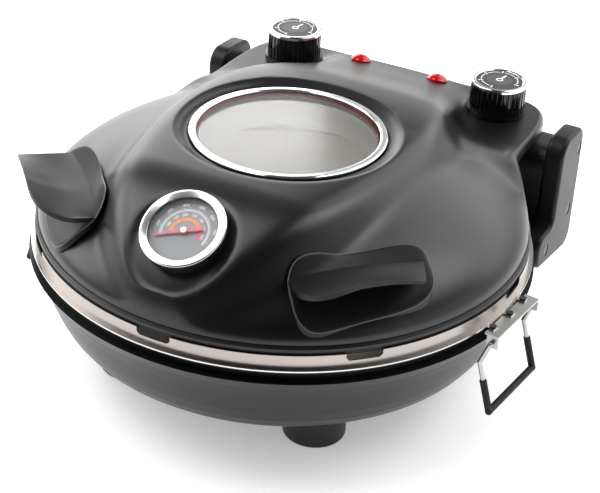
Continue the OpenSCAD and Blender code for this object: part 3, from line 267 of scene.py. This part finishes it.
# %% Give each node its finish
FINISHES = [
    (base_plastic, "base_housing"),
    (black_plastic, "rim_spacer feet hinge_arm_left hinge_arm_right lid_rear_wall lid_ring window_frame "
                    "thermometer_case control_housing"),
    (arm_plastic, "arm_cover_left arm_cover_right"),
    (handle_plastic, "handle_left handle_right"),
    (cream_plastic, "terminal_block thermostats"),
    (gloss_plastic, "knob_bezel_left knob_bezel_right knob_left knob_right"),
    (lid_enamel, "lid_shell"),
    (collar_steel, "vent_collar"),
    (pan_steel, "pan lower_element_clips heat_shield shield_posts floor_cover floor_screws arm_screws "
                "hinge_pin_left hinge_pin_right hinge_bush_left hinge_bush_right"),
    (liner_steel, "lid_liner upper_element_clips window_well"),
    (heater_steel, "lower_element upper_element"),
    (chrome, "window_ring thermometer_bezel knob_trim_left knob_trim_right"),
    (satin_steel, "bail_bracket_left bail_bracket_right bail_wire_left bail_wire_right"),
    (rivet_black, "bracket_rivets"),
    (fired_clay, "pizza_stone"),
    (rubber, "foot_pads cord_bushing bail_sleeve_left bail_sleeve_right lid_seal"),
    (red_silicone, "window_gasket"),
    (clear_glass, "window_glass"),
    (lens_glass, "thermometer_lens"),
    (red_acrylic, "pilot_lamp_left pilot_lamp_right"),
    (red_lacquer, "thermometer_needle"),
    (dial_ink, "thermometer_dial"),
]
dressed = set()
for finish, names in FINISHES:
    for name in names.split():
        nodes[name].data.materials.clear()
        nodes[name].data.materials.append(finish)
        dressed.add(name)
print("bare nodes:", sorted(set(nodes) - dressed))

# %% [markdown]
# ## The lid's shape
# The lid is one pressed sheet: a round flank, a raised tongue from the knobs over the
# window to the thermometer, two pods under the knobs and a dish round the gauge. It could
# be pushed out of a grid by hand, but the same height rule as in the construction keeps
# every seat in place, so the rule is written once more here and sampled finely.

# %% The height rule
RIM_Z = 95
LIP_R = 169.5
LIP_H = 17
SHELL_T = 3
DOME_RISE = 59
DOME_POWER = 1.65
POD_H = 44
TONGUE_H = 79
DISH_DROP = 5
WAIST_A = 122
WINDOW_R = 68
GAUGE_Y = -138.4
GAUGE_H = 68.02
GAUGE_TILT = 31
GAUGE_R = 28


def step01(v):
    c = np.clip(v, 0, 1)
    return c * c * (3 - 2 * c)


def soft_max(a, b, k):
    return (a + b + np.sqrt((a - b) ** 2 + k * k)) / 2


def ramp(v, k):
    return (v + np.sqrt(v * v + k * k)) / 2


def lid_radius(a):
    """Outline of the lid at angle a from the front, in degrees."""
    s, c = np.sin(np.radians(a)), -np.cos(np.radians(a))
    box = ((np.abs(s) / 126) ** 10 + (np.maximum(c, 0) / 206) ** 10) ** -0.1
    return np.where(c < 0.2, LIP_R, np.maximum(LIP_R, soft_max(LIP_R, box, 4)))


def rear_part(a):
    return step01((np.abs(a) - 120) / 13)


def lid_height(x, y):
    """Height of the lid's top above the flange, in mm."""
    r = np.hypot(x, y)
    a = np.degrees(np.arctan2(x, -y))
    flank = LIP_H + DOME_RISE * np.maximum(0, 1 - np.minimum(1, r / LIP_R) ** DOME_POWER) ** (1 / DOME_POWER)
    half = np.where(y < 30, 88 * np.sqrt(np.maximum(0.02, 1 - ((y - 30) / 200) ** 2)),
                    58 + 30 * (1 + np.cos(np.radians(180 * np.minimum(1, (y - 30) / 130)))) / 2)
    top = TONGUE_H - 0.27 * ramp(y - 78, 20) - 0.00605 * np.maximum(0, -y - 85) ** 2
    tongue = top - 1.6 * ramp(np.abs(x) - half, 8)
    pods = POD_H - 1.3 * ramp(100 - y, 10)
    body = soft_max(soft_max(flank, tongue, 5), pods, 4 + 14 * step01((150 - y) / 60))
    m = rear_part(a)
    width, rise = 60 - 51 * m, 68 - 60 * m
    inset = lid_radius(a) - r
    d = np.clip(inset / width, 0, 1)
    edge = LIP_H + (POD_H - 7 - LIP_H) * m
    rounded = edge + rise * np.sqrt(1 - (1 - d) ** 2) + 2 * np.maximum(0, inset - width)
    soft = 7 * np.exp(-((np.abs(a) - WAIST_A) / 9) ** 2)
    v = (y - GAUGE_Y) / math.cos(math.radians(GAUGE_TILT))
    dish = 3.5 * step01((GAUGE_R + 9 - np.hypot(x, v)) / 7)
    seat = step01((WINDOW_R + 10 - r) / 6)
    return (-soft_max(-body, -rounded, soft) - dish) * (1 - seat) + (TONGUE_H - DISH_DROP) * seat


panel_height = float(lid_height(np.array(0.0), np.array(185.0)))
print("lid height in the middle of the panel", round(panel_height, 1), "mm")

# %% Build the lid skin
def mesh_piece(name, points, faces, material, body, slot, smooth_deg=35):
    """A piece from points in mm and faces, riding on a body."""
    mesh = bpy.data.meshes.new(name)
    mesh.from_pydata([tuple(np.asarray(p) * MM) for p in points], [], faces)
    piece = bpy.data.objects.new(name, mesh)
    scene.collection.objects.link(piece)
    mesh.materials.append(material)
    select_only(piece)
    bpy.ops.object.shade_smooth_by_angle(angle=math.radians(smooth_deg))
    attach(piece, body)
    return piece


def select_only(piece):
    bpy.ops.object.select_all(action="DESELECT")
    bpy.context.view_layer.objects.active = piece
    piece.select_set(True)


def grid_faces(rows, columns, closed_rows=True):
    """Quads between rows of points. Each row closes on itself."""
    faces = []
    for i in range(rows if closed_rows else rows - 1):
        for j in range(columns):
            a, b = i * columns + j, i * columns + (j + 1) % columns
            c, d = ((i + 1) % rows) * columns + (j + 1) % columns, ((i + 1) % rows) * columns + j
            faces.append((a, d, c, b))
    return faces


LID_TURNS = 300
LID_RINGS = 56
points = []
for turn in range(LID_TURNS):
    a = -180 + 360 * turn / LID_TURNS
    sin_a, cos_a = math.sin(math.radians(a)), math.cos(math.radians(a))
    outer = float(lid_radius(np.array(a)))
    inner = WINDOW_R + 1
    steps = 1 - (1 - np.arange(LID_RINGS + 1) / LID_RINGS) ** 1.5
    skirt = RIM_Z + LIP_H - 2 + (POD_H - 8 - LIP_H + 2) * float(rear_part(np.array(a)))
    r = inner + (outer - inner) * steps
    top = RIM_Z + lid_height(r * sin_a, -r * cos_a)
    r_in = inner + (outer - SHELL_T - inner) * steps
    under = RIM_Z + lid_height(r_in * sin_a, -r_in * cos_a) - SHELL_T
    loop = [(q * sin_a, -q * cos_a, z) for q, z in zip(r, top)]
    loop += [(q * sin_a, -q * cos_a, skirt) for q in (outer, outer - SHELL_T)]
    loop += [(q * sin_a, -q * cos_a, z) for q, z in zip(r_in[::-1], under[::-1])]
    points += loop
LID_SMOOTH_DEG = 75
lid_skin = mesh_piece("lid_skin", points, grid_faces(LID_TURNS, len(loop)), lid_enamel, "lid", "lid_paint",
                      LID_SMOOTH_DEG)
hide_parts("lid_shell")
print("lid skin", len(lid_skin.data.polygons), "faces")

# %% [markdown]
# ## The handles
# Each handle is one moulding: a plate that follows the lid, and a thin wing that grows out
# of it and curls outwards for the fingers. A wing with this double curve is hard to push
# out of a cube, so plate and wing are laid as grids of points over the lid's height rule.

# %% Handle plates and wings
HANDLE_A = 46.5
PLATE_MID_R = 146.5
PLATE_W = 46.5
PLATE_L = 19
PLATE_UP = 1.3
PLATE_SKIN = 1.8
PLATE_POWER = 3.6
PLATE_SKEW = 0.06
PLATE_RISE = (4, 7)
WING_ROOT_R = 136.5
WING_FRONT_R = 153.5
WING_R = 179.5
WING_TIP_T = 28
WING_ROUND = 0.45
WING_FALL = (14, 4)
WING_RISE = 23.5
WING_T = 3.6


def handle_xy(r, t):
    """Plan position on the right handle: r out from the middle, t towards the rear."""
    a = math.radians(HANDLE_A)
    return r * math.sin(a) + t * math.cos(a), -r * math.cos(a) + t * math.sin(a)


def on_lid(r, t, up):
    """A point of the right handle at a height above the lid."""
    x, y = handle_xy(r, t)
    return np.array([x, y, RIM_Z + float(lid_height(np.array(x), np.array(y))) + up])


def plate_top(t):
    """The base is less curved than the lid, so both its ends stand proud."""
    return PLATE_UP + PLATE_SKIN + PLATE_RISE[t > 0] * (t / PLATE_W) ** 2


def plate_rim(q, share=1.0):
    """Outline of the base at angle q, as r and t."""
    c, s = math.cos(q), math.sin(q)
    k = share * (abs(c) ** PLATE_POWER + abs(s) ** PLATE_POWER) ** (-1 / PLATE_POWER)
    return PLATE_MID_R + PLATE_L * k * s - PLATE_SKEW * PLATE_W * k * c, PLATE_W * k * c


print("handle base", 2 * PLATE_W, "mm long,", 2 * PLATE_L, "mm wide")


# %% The base's grid of points
def plate_mesh(around=96, across=14):
    """Rings of points from the middle outwards, over the top and back underneath."""
    shares = [*np.linspace(0.02, 0.965, across), 0.985, 0.996, 1.0, 1.0, 0.5, 0.02]
    drops = [0] * across + [0.15, 0.5, 1.0]
    points = []
    for ring, share in enumerate(shares):
        for i in range(around):
            r, t = plate_rim(math.tau * i / around, share)
            up = plate_top(t) - drops[ring] if ring < len(drops) else PLATE_UP
            points.append(on_lid(r, t, up))
    faces = grid_faces(len(shares), around, closed_rows=False)
    last = (len(shares) - 1) * around
    faces.append(tuple(range(around)))
    faces.append(tuple(last + i for i in reversed(range(around))))
    return points, faces


print(len(plate_mesh()[0]), "points in a handle's base")

# %% The wing's grid of points
WING_TOP_Z = on_lid(PLATE_MID_R, 0, 0)[2] + WING_RISE


def wing_root(u):
    """Where the wing grows out of the base: u runs from front to rear."""
    t = 1 - PLATE_W + (2 * PLATE_W - 4) * u
    return on_lid(WING_ROOT_R + 4 * (2 * u - 1) ** 2, t, plate_top(t) + 0.2)


def wing_edge(u):
    """Free edge of the wing: a round front and a pointed rear."""
    x = max(0, 1 - u / WING_ROUND)
    r = WING_FRONT_R + (WING_R - WING_FRONT_R) * (1 - x ** 3) ** 0.65
    fall = WING_FALL[0] * x ** 1.5 + WING_FALL[1] * (max(0, u - 0.6) / 0.4) ** 1.5
    return np.array([*handle_xy(r, (PLATE_W + WING_TIP_T) * u - PLATE_W), WING_TOP_Z - fall])


def wing_point(u, v, d):
    """A point of the wing: v from its root to its edge, d from its underside to its top."""
    middle = wing_root(u) * (1 - v) + wing_edge(u) * v
    thick = (WING_T + (PLATE_SKIN - WING_T) * (1 - v) ** 4) * (1 - 0.4 * u * v)
    return middle - np.array([0, 0, 16 * u * (1 - u) * math.sin(math.pi * v) + (1 - d) * thick])


def wing_mesh(nu=56, nv=22):
    """Loops across the wing: along its top, round its lip and back underneath."""
    points = []
    for i in range(nu + 1):
        u = (1 - math.cos(math.pi * i / nu)) / 2
        points += [wing_point(u, j / nv, 1) for j in range(nv + 1)]
        points += [wing_point(u, j / nv, 0) for j in reversed(range(nv + 1))]
    m = 2 * (nv + 1)
    faces = grid_faces(nu + 1, m, closed_rows=False)
    faces.append(tuple(range(m)))
    faces.append(tuple(nu * m + j for j in reversed(range(m))))
    return points, faces


print("wing tip", round(WING_TOP_Z - RIM_Z, 1), "mm above the flange")


# %% The bead round the base, grey as a painted highlight
def bead_mesh(around=144, sides=8, radius=0.55):
    """A thin bead round the edge of the base; its grey is a painted highlight on the rounded edge."""
    points = []
    for i in range(around):
        q = math.tau * i / around
        r, t = plate_rim(q)
        middle = on_lid(r, t, plate_top(t) - 0.75)
        out = np.array([*handle_xy(*plate_rim(q, 1.01)), middle[2]]) - middle
        out /= np.linalg.norm(out)
        for j in range(sides):
            w = math.tau * j / sides
            points.append(middle + radius * (math.cos(w) * out + np.array([0, 0, math.sin(w)])))
    return points, grid_faces(around, sides)


print(len(bead_mesh()[0]), "points in a bead")


# %% Make both handles
def mirrored(side, points, faces):
    """The right-hand shape, or its mirror image for the left."""
    return [(side * p[0], p[1], p[2]) for p in points], faces


def tidy_normals(piece):
    """Turns every face outwards."""
    select_only(piece)
    bpy.ops.object.mode_set(mode="EDIT")
    bpy.ops.mesh.select_all(action="SELECT")
    bpy.ops.mesh.normals_make_consistent(inside=False)
    bpy.ops.object.mode_set(mode="OBJECT")


def apply_modifier(piece, kind, **settings):
    """Adds a modifier and applies it."""
    modifier = piece.modifiers.new(kind.lower(), kind)
    for key, value in settings.items():
        setattr(modifier, key, value)
    select_only(piece)
    bpy.ops.object.modifier_apply(modifier=modifier.name)


for side, word in ((-1, "left"), (1, "right")):
    parts = {}
    for part, made, finish in (("plate", plate_mesh(), handle_plastic), ("wing", wing_mesh(), handle_plastic),
                               ("bead", bead_mesh(), bead_highlight_grey)):
        parts[part] = mesh_piece("handle_%s_%s" % (part, word), *mirrored(side, *made), finish, "lid",
                                 "handle_plastic", 60)
        tidy_normals(parts[part])
        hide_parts("handle_" + word)
    apply_modifier(parts["wing"], "BEVEL", width=1.3 * MM, segments=4, limit_method="ANGLE",
                   angle_limit=math.radians(50))
    print("handle", word, len(parts["wing"].data.polygons), "faces in the wing")

# %% [markdown]
# ## Chrome rings
# The rings round the window, the dial and the knobs are turned and chrome plated. A mirror
# shows every facet, so each is built again from its profile with many more steps. A ring
# could be spun as the printed arcs further on are, but a grid of points keeps its profile.

# %% Turn the chrome rings
def turned(name, profile, where, material, body, slot, node, turns=288):
    """A ring turned from a closed profile of r and z in mm, instead of a CAD node."""
    points = [(r * math.cos(math.tau * i / turns), r * math.sin(math.tau * i / turns), z)
              for i in range(turns) for r, z in profile]
    piece = mesh_piece(name, points, grid_faces(turns, len(profile)), material, body, slot)
    piece.data.transform(where)
    tidy_normals(piece)
    apply_modifier(piece, "BEVEL", width=0.3 * MM, segments=3, limit_method="ANGLE",
                   angle_limit=math.radians(25))
    select_only(piece)
    bpy.ops.object.shade_smooth_by_angle(angle=math.radians(40))
    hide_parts(node)
    return piece


KNOB_X = 86
KNOB_Y = 174
KNOB_TOP = 44 + 3 + 21.5
FACE_R = 17.2
WINDOW_BAND = [(65.2, 166), (68, 166), (68, 170.7), (67, 171.5), (63.5, 171.5), (62.5, 170.7),
               (62.5, 170), (65.2, 170)]
DIAL_BAND = [(28, -3), (28, -0.9), (27.4, -0.1), (27, 0), (26.4, -0.12), (22.8, -0.95), (22.8, -1.2),
             (23.8, -1.2), (23.8, -3)]
KNOB_BAND = [(FACE_R, -3), (20.8, -3), (20.8, -0.9), (20.3, -0.2), (19.7, 0), (18.1, 0), (FACE_R, -0.6)]
gauge_middle = Matrix.Translation((0, GAUGE_Y * MM, (RIM_Z + GAUGE_H) * MM))
at_gauge = gauge_middle @ Matrix.Rotation(math.radians(GAUGE_TILT), 4, "X")


def knob_top(side):
    """Where a knob's print lies: the middle of its top."""
    return Matrix.Translation((side * KNOB_X * MM, KNOB_Y * MM, (RIM_Z + KNOB_TOP) * MM))


turned("window_band", WINDOW_BAND, Matrix.Identity(4), chrome, "lid", "ring_chrome", "window_ring")
turned("dial_band", DIAL_BAND, at_gauge, chrome, "lid", "ring_chrome", "thermometer_bezel")
for side, word in ((-1, "left"), (1, "right")):
    turned("knob_band_" + word, KNOB_BAND, knob_top(side), chrome, "knob_" + word, "ring_chrome",
           "knob_trim_" + word, 192)
print("chrome rings turned")

# %% [markdown]
# ## Arm covers
# Each arm is closed by a moulded cover with well rounded edges. Its outline is six arcs in
# the side view, pushed out sideways. A bevel rounds the rim, cylinders cut the screw
# recesses, and grey plugs hide the screws.

# %% Arm covers
COVER_ARCS = [(133, 53, 11, 180, 255), (185, 46, 12, 262, 360), (183, 123, 13, 0, 80),
              (164, 123, 14, 90, 180), (142, 77, 8, 0, -90), (131, 60, 9, 90, 180)]
COVER_X = (135.5, 150)
COVER_ROUND = 2.6
ARC_STEPS = 12
PLUGS = [(188, 118), (183, 68), (140, 53)]
HOLE_R = 4.5
PLUG_R = 4.35


def arc_point(y, z, r, start, end, step):
    """A point of an arc of the cover's outline, in the side view."""
    a = math.radians(start + (end - start) * step / ARC_STEPS)
    return y + r * math.cos(a), z + r * math.sin(a)


cover_line = [arc_point(*arc, step) for arc in COVER_ARCS for step in range(ARC_STEPS + 1)]


def joined(name, pieces, where, material, body):
    """One piece made of several, moved to its place on the oven."""
    bpy.ops.object.select_all(action="DESELECT")
    for piece in pieces:
        piece.select_set(True)
    bpy.context.view_layer.objects.active = pieces[0]
    if len(pieces) > 1:
        bpy.ops.object.join()
    whole = bpy.context.active_object
    whole.name = name
    whole.data.transform(where)
    whole.data.materials.clear()
    whole.data.materials.append(material)
    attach(whole, body)
    return whole


def side_disc(side, y, z, r, x0, x1):
    """A round bar across the oven, between two distances from its middle."""
    bpy.ops.object.select_all(action="DESELECT")
    bpy.ops.mesh.primitive_cylinder_add(vertices=48, radius=r * MM, depth=(x1 - x0) * MM,
                                        rotation=(0, math.pi / 2, 0),
                                        location=(side * (x0 + x1) / 2 * MM, y * MM, z * MM))
    piece = bpy.context.active_object
    bpy.ops.object.transform_apply(location=True, rotation=True)
    return piece


for side, word in ((-1, "left"), (1, "right")):
    n = len(cover_line)
    points = [(side * x, y, z) for x in COVER_X for y, z in cover_line]
    faces = [tuple(range(n)), tuple(range(n, 2 * n))[::-1]]
    faces += [(i, (i + 1) % n, (i + 1) % n + n, i + n) for i in range(n)]
    cover = mesh_piece("cover_" + word, points, faces, arm_plastic, "base", "arm_plastic")
    tidy_normals(cover)
    apply_modifier(cover, "BEVEL", width=COVER_ROUND * MM, segments=5, limit_method="ANGLE",
                   angle_limit=math.radians(60))
    for y, z in PLUGS:
        cutter = side_disc(side, y, z, HOLE_R, 146, 152)
        apply_modifier(cover, "BOOLEAN", operation="DIFFERENCE", object=cutter, solver="EXACT")
        bpy.data.objects.remove(cutter)
    select_only(cover)
    bpy.ops.object.shade_smooth_by_angle(angle=math.radians(40))
    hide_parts("arm_cover_" + word)
    plugs = [side_disc(side, y, z, PLUG_R, 147.9, 149.5) for y, z in PLUGS]
    joined("plugs_" + word, plugs, Matrix.Identity(4), plug_plastic, "base")
print("arm covers and plugs made")

# %% [markdown]
# ## Turned bands
# The print on the dial and on the knobs is made of thin arcs. Each arc starts as a plane
# whose far side is deleted, so one edge is left. The spin tool sweeps that edge round the
# middle, and an extrude gives the ink its thickness.

# %% Arc bands
def pick(piece, test):
    """Selects, in edit mode, the vertices whose place passes a test."""
    bpy.ops.object.mode_set(mode="EDIT")
    bpy.ops.mesh.select_mode(type="VERT")
    bpy.ops.mesh.select_all(action="DESELECT")
    bpy.ops.object.mode_set(mode="OBJECT")
    for vertex in piece.data.vertices:
        vertex.select = bool(test(vertex.co))
    bpy.ops.object.mode_set(mode="EDIT")


def arc_band(r_in, r_out, start, end, z, thick, step_deg=4):
    """A flat band round Z between two radii and two angles, in mm and degrees."""
    bpy.ops.object.select_all(action="DESELECT")
    bpy.ops.mesh.primitive_plane_add(size=(r_out - r_in) * MM, location=((r_in + r_out) / 2 * MM, 0, z * MM))
    piece = bpy.context.active_object
    bpy.ops.object.transform_apply(location=True, rotation=False, scale=False)
    pick(piece, lambda co: co.y > 0)
    bpy.ops.mesh.delete(type="VERT")
    bpy.ops.mesh.select_all(action="SELECT")
    bpy.ops.transform.translate(value=(0, (r_out - r_in) / 2 * MM, 0))
    turn = math.radians(end - start)
    steps = max(1, round(abs(end - start) / step_deg))
    bpy.ops.mesh.spin(steps=steps, angle=-turn, center=(0, 0, 0), axis=(0, 0, 1))
    bpy.ops.mesh.select_all(action="SELECT")
    bpy.ops.mesh.extrude_region_move(TRANSFORM_OT_translate={"value": (0, 0, thick * MM)})
    bpy.ops.mesh.select_all(action="SELECT")
    bpy.ops.mesh.normals_make_consistent(inside=False)
    bpy.ops.object.mode_set(mode="OBJECT")
    piece.data.transform(Matrix.Rotation(math.radians(start), 4, "Z"))
    return piece


def on_face(x, y, z, turn):
    """A place on a printed face, in mm, turned about Z."""
    return Matrix.Translation((x * MM, y * MM, z * MM)) @ Matrix.Rotation(math.radians(turn), 4, "Z")


def bar(length, width, x, y, z, thick, turn):
    """A small rounded bar, its middle at x, y and turned about Z."""
    bpy.ops.object.select_all(action="DESELECT")
    bpy.ops.mesh.primitive_cube_add(size=MM)
    piece = bpy.context.active_object
    piece.data.transform(Matrix.Diagonal((length, width, thick, 1)))
    apply_modifier(piece, "BEVEL", width=0.2 * width * MM, segments=2, limit_method="ANGLE")
    piece.data.transform(on_face(x, y, z, turn))
    return piece


def figure(words, size_mm, x, y, z, turn):
    """Plain figures as a thin mesh."""
    bpy.ops.object.select_all(action="DESELECT")
    bpy.ops.object.text_add()
    piece = bpy.context.active_object
    piece.data.body = words
    piece.data.size = size_mm * MM
    piece.data.align_x = "CENTER"
    piece.data.align_y = "CENTER"
    piece.data.extrude = 0.03 * MM
    bpy.ops.object.convert(target="MESH")
    piece = bpy.context.active_object
    piece.data.transform(on_face(x, y, z, turn))
    return piece


# Painted light: the white and orange inks glow slightly, though they are no lamps.
glowing_white_ink = new_material("white dial ink", Base_Color=srgb("#f4f4f4"), Roughness=0.5,
                         Emission_Color=(1, 1, 1, 1), Emission_Strength=0.25)
glowing_orange_ink = new_material("orange dial ink", Base_Color=srgb("#f5955a"), Roughness=0.5,
                          Emission_Color=srgb("#f08a50"), Emission_Strength=0.2)
red_ink = new_material("red dial ink", Base_Color=srgb("#ee6f86"), Roughness=0.5)

# %% [markdown]
# ## The thermometer's dial
# The dial is a printed disc with a double arc, ticks, an outer row of figures in
# Fahrenheit and an inner row in Celsius. An orange band marks the baking range and a short
# red one the top of it. The dial sits a little turned in its case, and its arcs start and
# end at two named angles. A white cap covers the middle of the needle.

# %% Print the dial
DIAL_Z = -5.55
DIAL_START = 205
DIAL_END = -18
def on_dial(r, angle):
    return r * math.cos(math.radians(angle)), r * math.sin(math.radians(angle))


marks = [arc_band(15.0, 15.45, DIAL_END, DIAL_START, DIAL_Z, 0.05),
         arc_band(16.1, 16.4, DIAL_END, DIAL_START, DIAL_Z, 0.05)]
for i in range(29):
    angle = DIAL_START + (DIAL_END - DIAL_START) * i / 28
    long = i % 4 == 3
    r0, r1 = (16.1, 17.4) if long else (15.2, 16.3)
    marks.append(bar(r1 - r0, 0.28, *on_dial((r0 + r1) / 2, angle), DIAL_Z + 0.03, 0.05, angle))
for i, words in enumerate(("200", "300", "400", "500", "600", "700")):
    angle = 178 - 32 * i
    marks.append(figure(words, 2.9, *on_dial(19.3, angle), DIAL_Z + 0.03, angle - 90))
for i, words in enumerate(("100", "150", "200", "250", "300", "350", "400")):
    angle = 172 - 28.5 * i
    marks.append(figure(words, 2.5, *on_dial(12.4, angle), DIAL_Z + 0.03, angle - 90))
joined("dial_print", marks, at_gauge, glowing_white_ink, "lid")
bake_band = arc_band(8.1, 10.2, 25, 192, DIAL_Z, 0.05)
joined("dial_bake_band", [bake_band], at_gauge, glowing_orange_ink, "lid")
hot_band = arc_band(9.2, 11.6, -12, 22, DIAL_Z, 0.05)
joined("dial_hot_band", [hot_band], at_gauge, red_ink, "lid")
hub = arc_band(0.02, 2.0, 0, 360, -2.9, 0.3, 12)
joined("needle_hub", [hub], at_gauge, glowing_white_ink, "needle")
print(len(marks), "marks on the dial")

# %% [markdown]
# ## The knob faces
# A grey disc fills the chrome trim of each knob. It carries six ticks, arcs between them and
# a white pointer with a round bulb, printed on a slightly raised middle.

# %% Print the knobs
knob_grey = moulded("printed knob grey", "#38393b", 0.45)
knob_middle = moulded("raised knob middle", "#4b4d4f", 0.42)


def disc(r, z, thick):
    """A thin disc with a bevelled edge."""
    bpy.ops.object.select_all(action="DESELECT")
    bpy.ops.mesh.primitive_cylinder_add(vertices=96, radius=r * MM, depth=thick * MM, location=(0, 0, z * MM))
    piece = bpy.context.active_object
    bpy.ops.object.transform_apply(location=True)
    apply_modifier(piece, "BEVEL", width=0.3 * thick * MM, segments=2, limit_method="ANGLE")
    return piece


for side, word in ((-1, "left"), (1, "right")):
    at_knob = knob_top(side)
    body = "knob_" + word
    joined("knob_face_" + word, [disc(FACE_R - 0.1, -0.62, 0.5)], at_knob, knob_grey, body)
    joined("knob_middle_" + word, [disc(9.6, -0.45, 0.3)], at_knob, knob_middle, body)
    ticks = [267 - 55 * k for k in range(6)]
    print_marks = [bar(3.6, 1.0, *on_dial(14.2, a), -0.33, 0.08, a) for a in ticks]
    print_marks += [arc_band(13.3, 13.9, b + 7, a - 7, -0.36, 0.08) for a, b in zip(ticks, ticks[1:])]
    print_marks += [arc_band(1.6, 2.7, 0, 360, -0.29, 0.08, 12),
                    bar(7.4, 1.5, *on_dial(6.0, 80), -0.25, 0.08, 80)]
    joined("knob_print_" + word, print_marks, at_knob, glowing_white_ink, body)
print("knobs printed")

# %% [markdown]
# ## The stage
# A white floor and a white world give a catalogue picture. Five softboxes stand at the left,
# behind, at the rear left, at the right and high up. The room and the mirrored floor are dark
# in front of the oven, as behind a camera, which keeps the front of the lid deep.

# %% Floor, world and lamps
bpy.ops.mesh.primitive_plane_add(size=6, location=(0, 0, 0))
floor = bpy.context.active_object
floor.name = "floor"
floor_paint = new_material("white studio floor", Base_Color=(0.93, 0.93, 0.93, 1), Roughness=0.9,
                           Specular_IOR_Level=0.2)
ray = add(floor_paint, "ShaderNodeLightPath")
front = add(floor_paint, "ShaderNodeMapRange", Value=add(floor_paint, "ShaderNodeSeparateXYZ",
            Vector=place(floor_paint)).outputs["Y"], From_Min=-0.56, From_Max=-0.33, To_Min=0.08, To_Max=1.0)
mirrored_floor = add(floor_paint, "ShaderNodeMath", {"operation": "MULTIPLY"},
                     i0=ray.outputs["Is Glossy Ray"], i1=front.outputs["Result"])
seen = add(floor_paint, "ShaderNodeMath", {"operation": "MAXIMUM"}, i0=ray.outputs["Is Camera Ray"],
           i1=mirrored_floor.outputs[0])
away = add(floor_paint, "ShaderNodeVectorMath", {"operation": "LENGTH"}, i0=place(floor_paint))
fill = add(floor_paint, "ShaderNodeMapRange", Value=away.outputs["Value"], From_Min=0.1, From_Max=0.3,
           To_Min=0.3, To_Max=0.95)
glow = add(floor_paint, "ShaderNodeMath", {"operation": "MULTIPLY"}, i0=seen.outputs[0],
           i1=fill.outputs["Result"])
floor_paint.node_tree.nodes["surface"].inputs["Emission Color"].default_value = (1, 1, 1, 1)
link(floor_paint, glow.outputs[0], "Emission Strength")
shade = add(floor_paint, "ShaderNodeMath", {"operation": "SUBTRACT"}, i0=1.0, i1=front.outputs["Result"])
shade = add(floor_paint, "ShaderNodeMath", {"operation": "MULTIPLY"}, i0=ray.outputs["Is Glossy Ray"],
            i1=shade.outputs[0])
shade = add(floor_paint, "ShaderNodeMapRange", Value=shade.outputs[0], To_Min=0.93, To_Max=0.0)
link(floor_paint, shade.outputs["Result"], "Base Color")
floor.data.materials.append(floor_paint)

world = bpy.data.worlds.new("studio")
scene.world = world
world.use_nodes = True
world.node_tree.nodes.clear()
ray = add(world, "ShaderNodeLightPath")
seen = add(world, "ShaderNodeMath", {"operation": "MAXIMUM"}, i0=ray.outputs["Is Camera Ray"],
           i1=ray.outputs["Is Transmission Ray"])
white = add(world, "ShaderNodeBackground", Color=(1, 1, 1, 1), Strength=1.0)
direction = add(world, "ShaderNodeSeparateXYZ", Vector=add(world, "ShaderNodeTexCoord").outputs["Generated"])
band = colour_ramp(world, direction.outputs["Z"], [(0.3, (1, 1, 1, 1)), (0.6, (0.08, 0.08, 0.08, 1))])
facing = add(world, "ShaderNodeVectorMath", {"operation": "DOT_PRODUCT"},
             i0=add(world, "ShaderNodeTexCoord").outputs["Generated"], i1=(-0.35, 0.94, 0))
depth = add(world, "ShaderNodeMapRange", Value=facing.outputs["Value"], From_Min=-0.85, From_Max=-0.3,
            To_Min=0.1, To_Max=1.1)
room = add(world, "ShaderNodeBackground", Color=band, Strength=depth.outputs["Result"])
mix = add(world, "ShaderNodeMixShader", Fac=seen.outputs[0], i1=room.outputs[0], i2=white.outputs[0])
add(world, "ShaderNodeOutputWorld", Surface=mix.outputs[0])


def softbox(name, place_m, look_at, size, watts):
    """A square area lamp that looks at a point."""
    data = bpy.data.lights.new(name, "AREA")
    data.shape = "RECTANGLE"
    data.size, data.size_y = size
    data.energy = watts
    lamp = bpy.data.objects.new(name, data)
    scene.collection.objects.link(lamp)
    lamp.location = place_m
    lamp.rotation_euler = (Vector(look_at) - Vector(place_m)).to_track_quat("-Z", "Y").to_euler()
    return lamp


OVEN = (0, 0, 0.14)
softbox("left softbox", (-1.26, -0.22, 0.82), OVEN, (1.0, 1.1), 11)
softbox("rear softbox", (0.59, 1.26, 1.11), OVEN, (1.5, 1.2), 11.5)
softbox("rear left softbox", (-1.12, 1.13, 0.6), OVEN, (1.1, 0.9), 8)
softbox("right softbox", (0.72, 0.40, 1.25), OVEN, (0.8, 0.8), 6)
softbox("high softbox", (-0.50, -0.22, 1.12), (0, -0.14, 0.16), (0.8, 0.7), 6)
print("stage set")
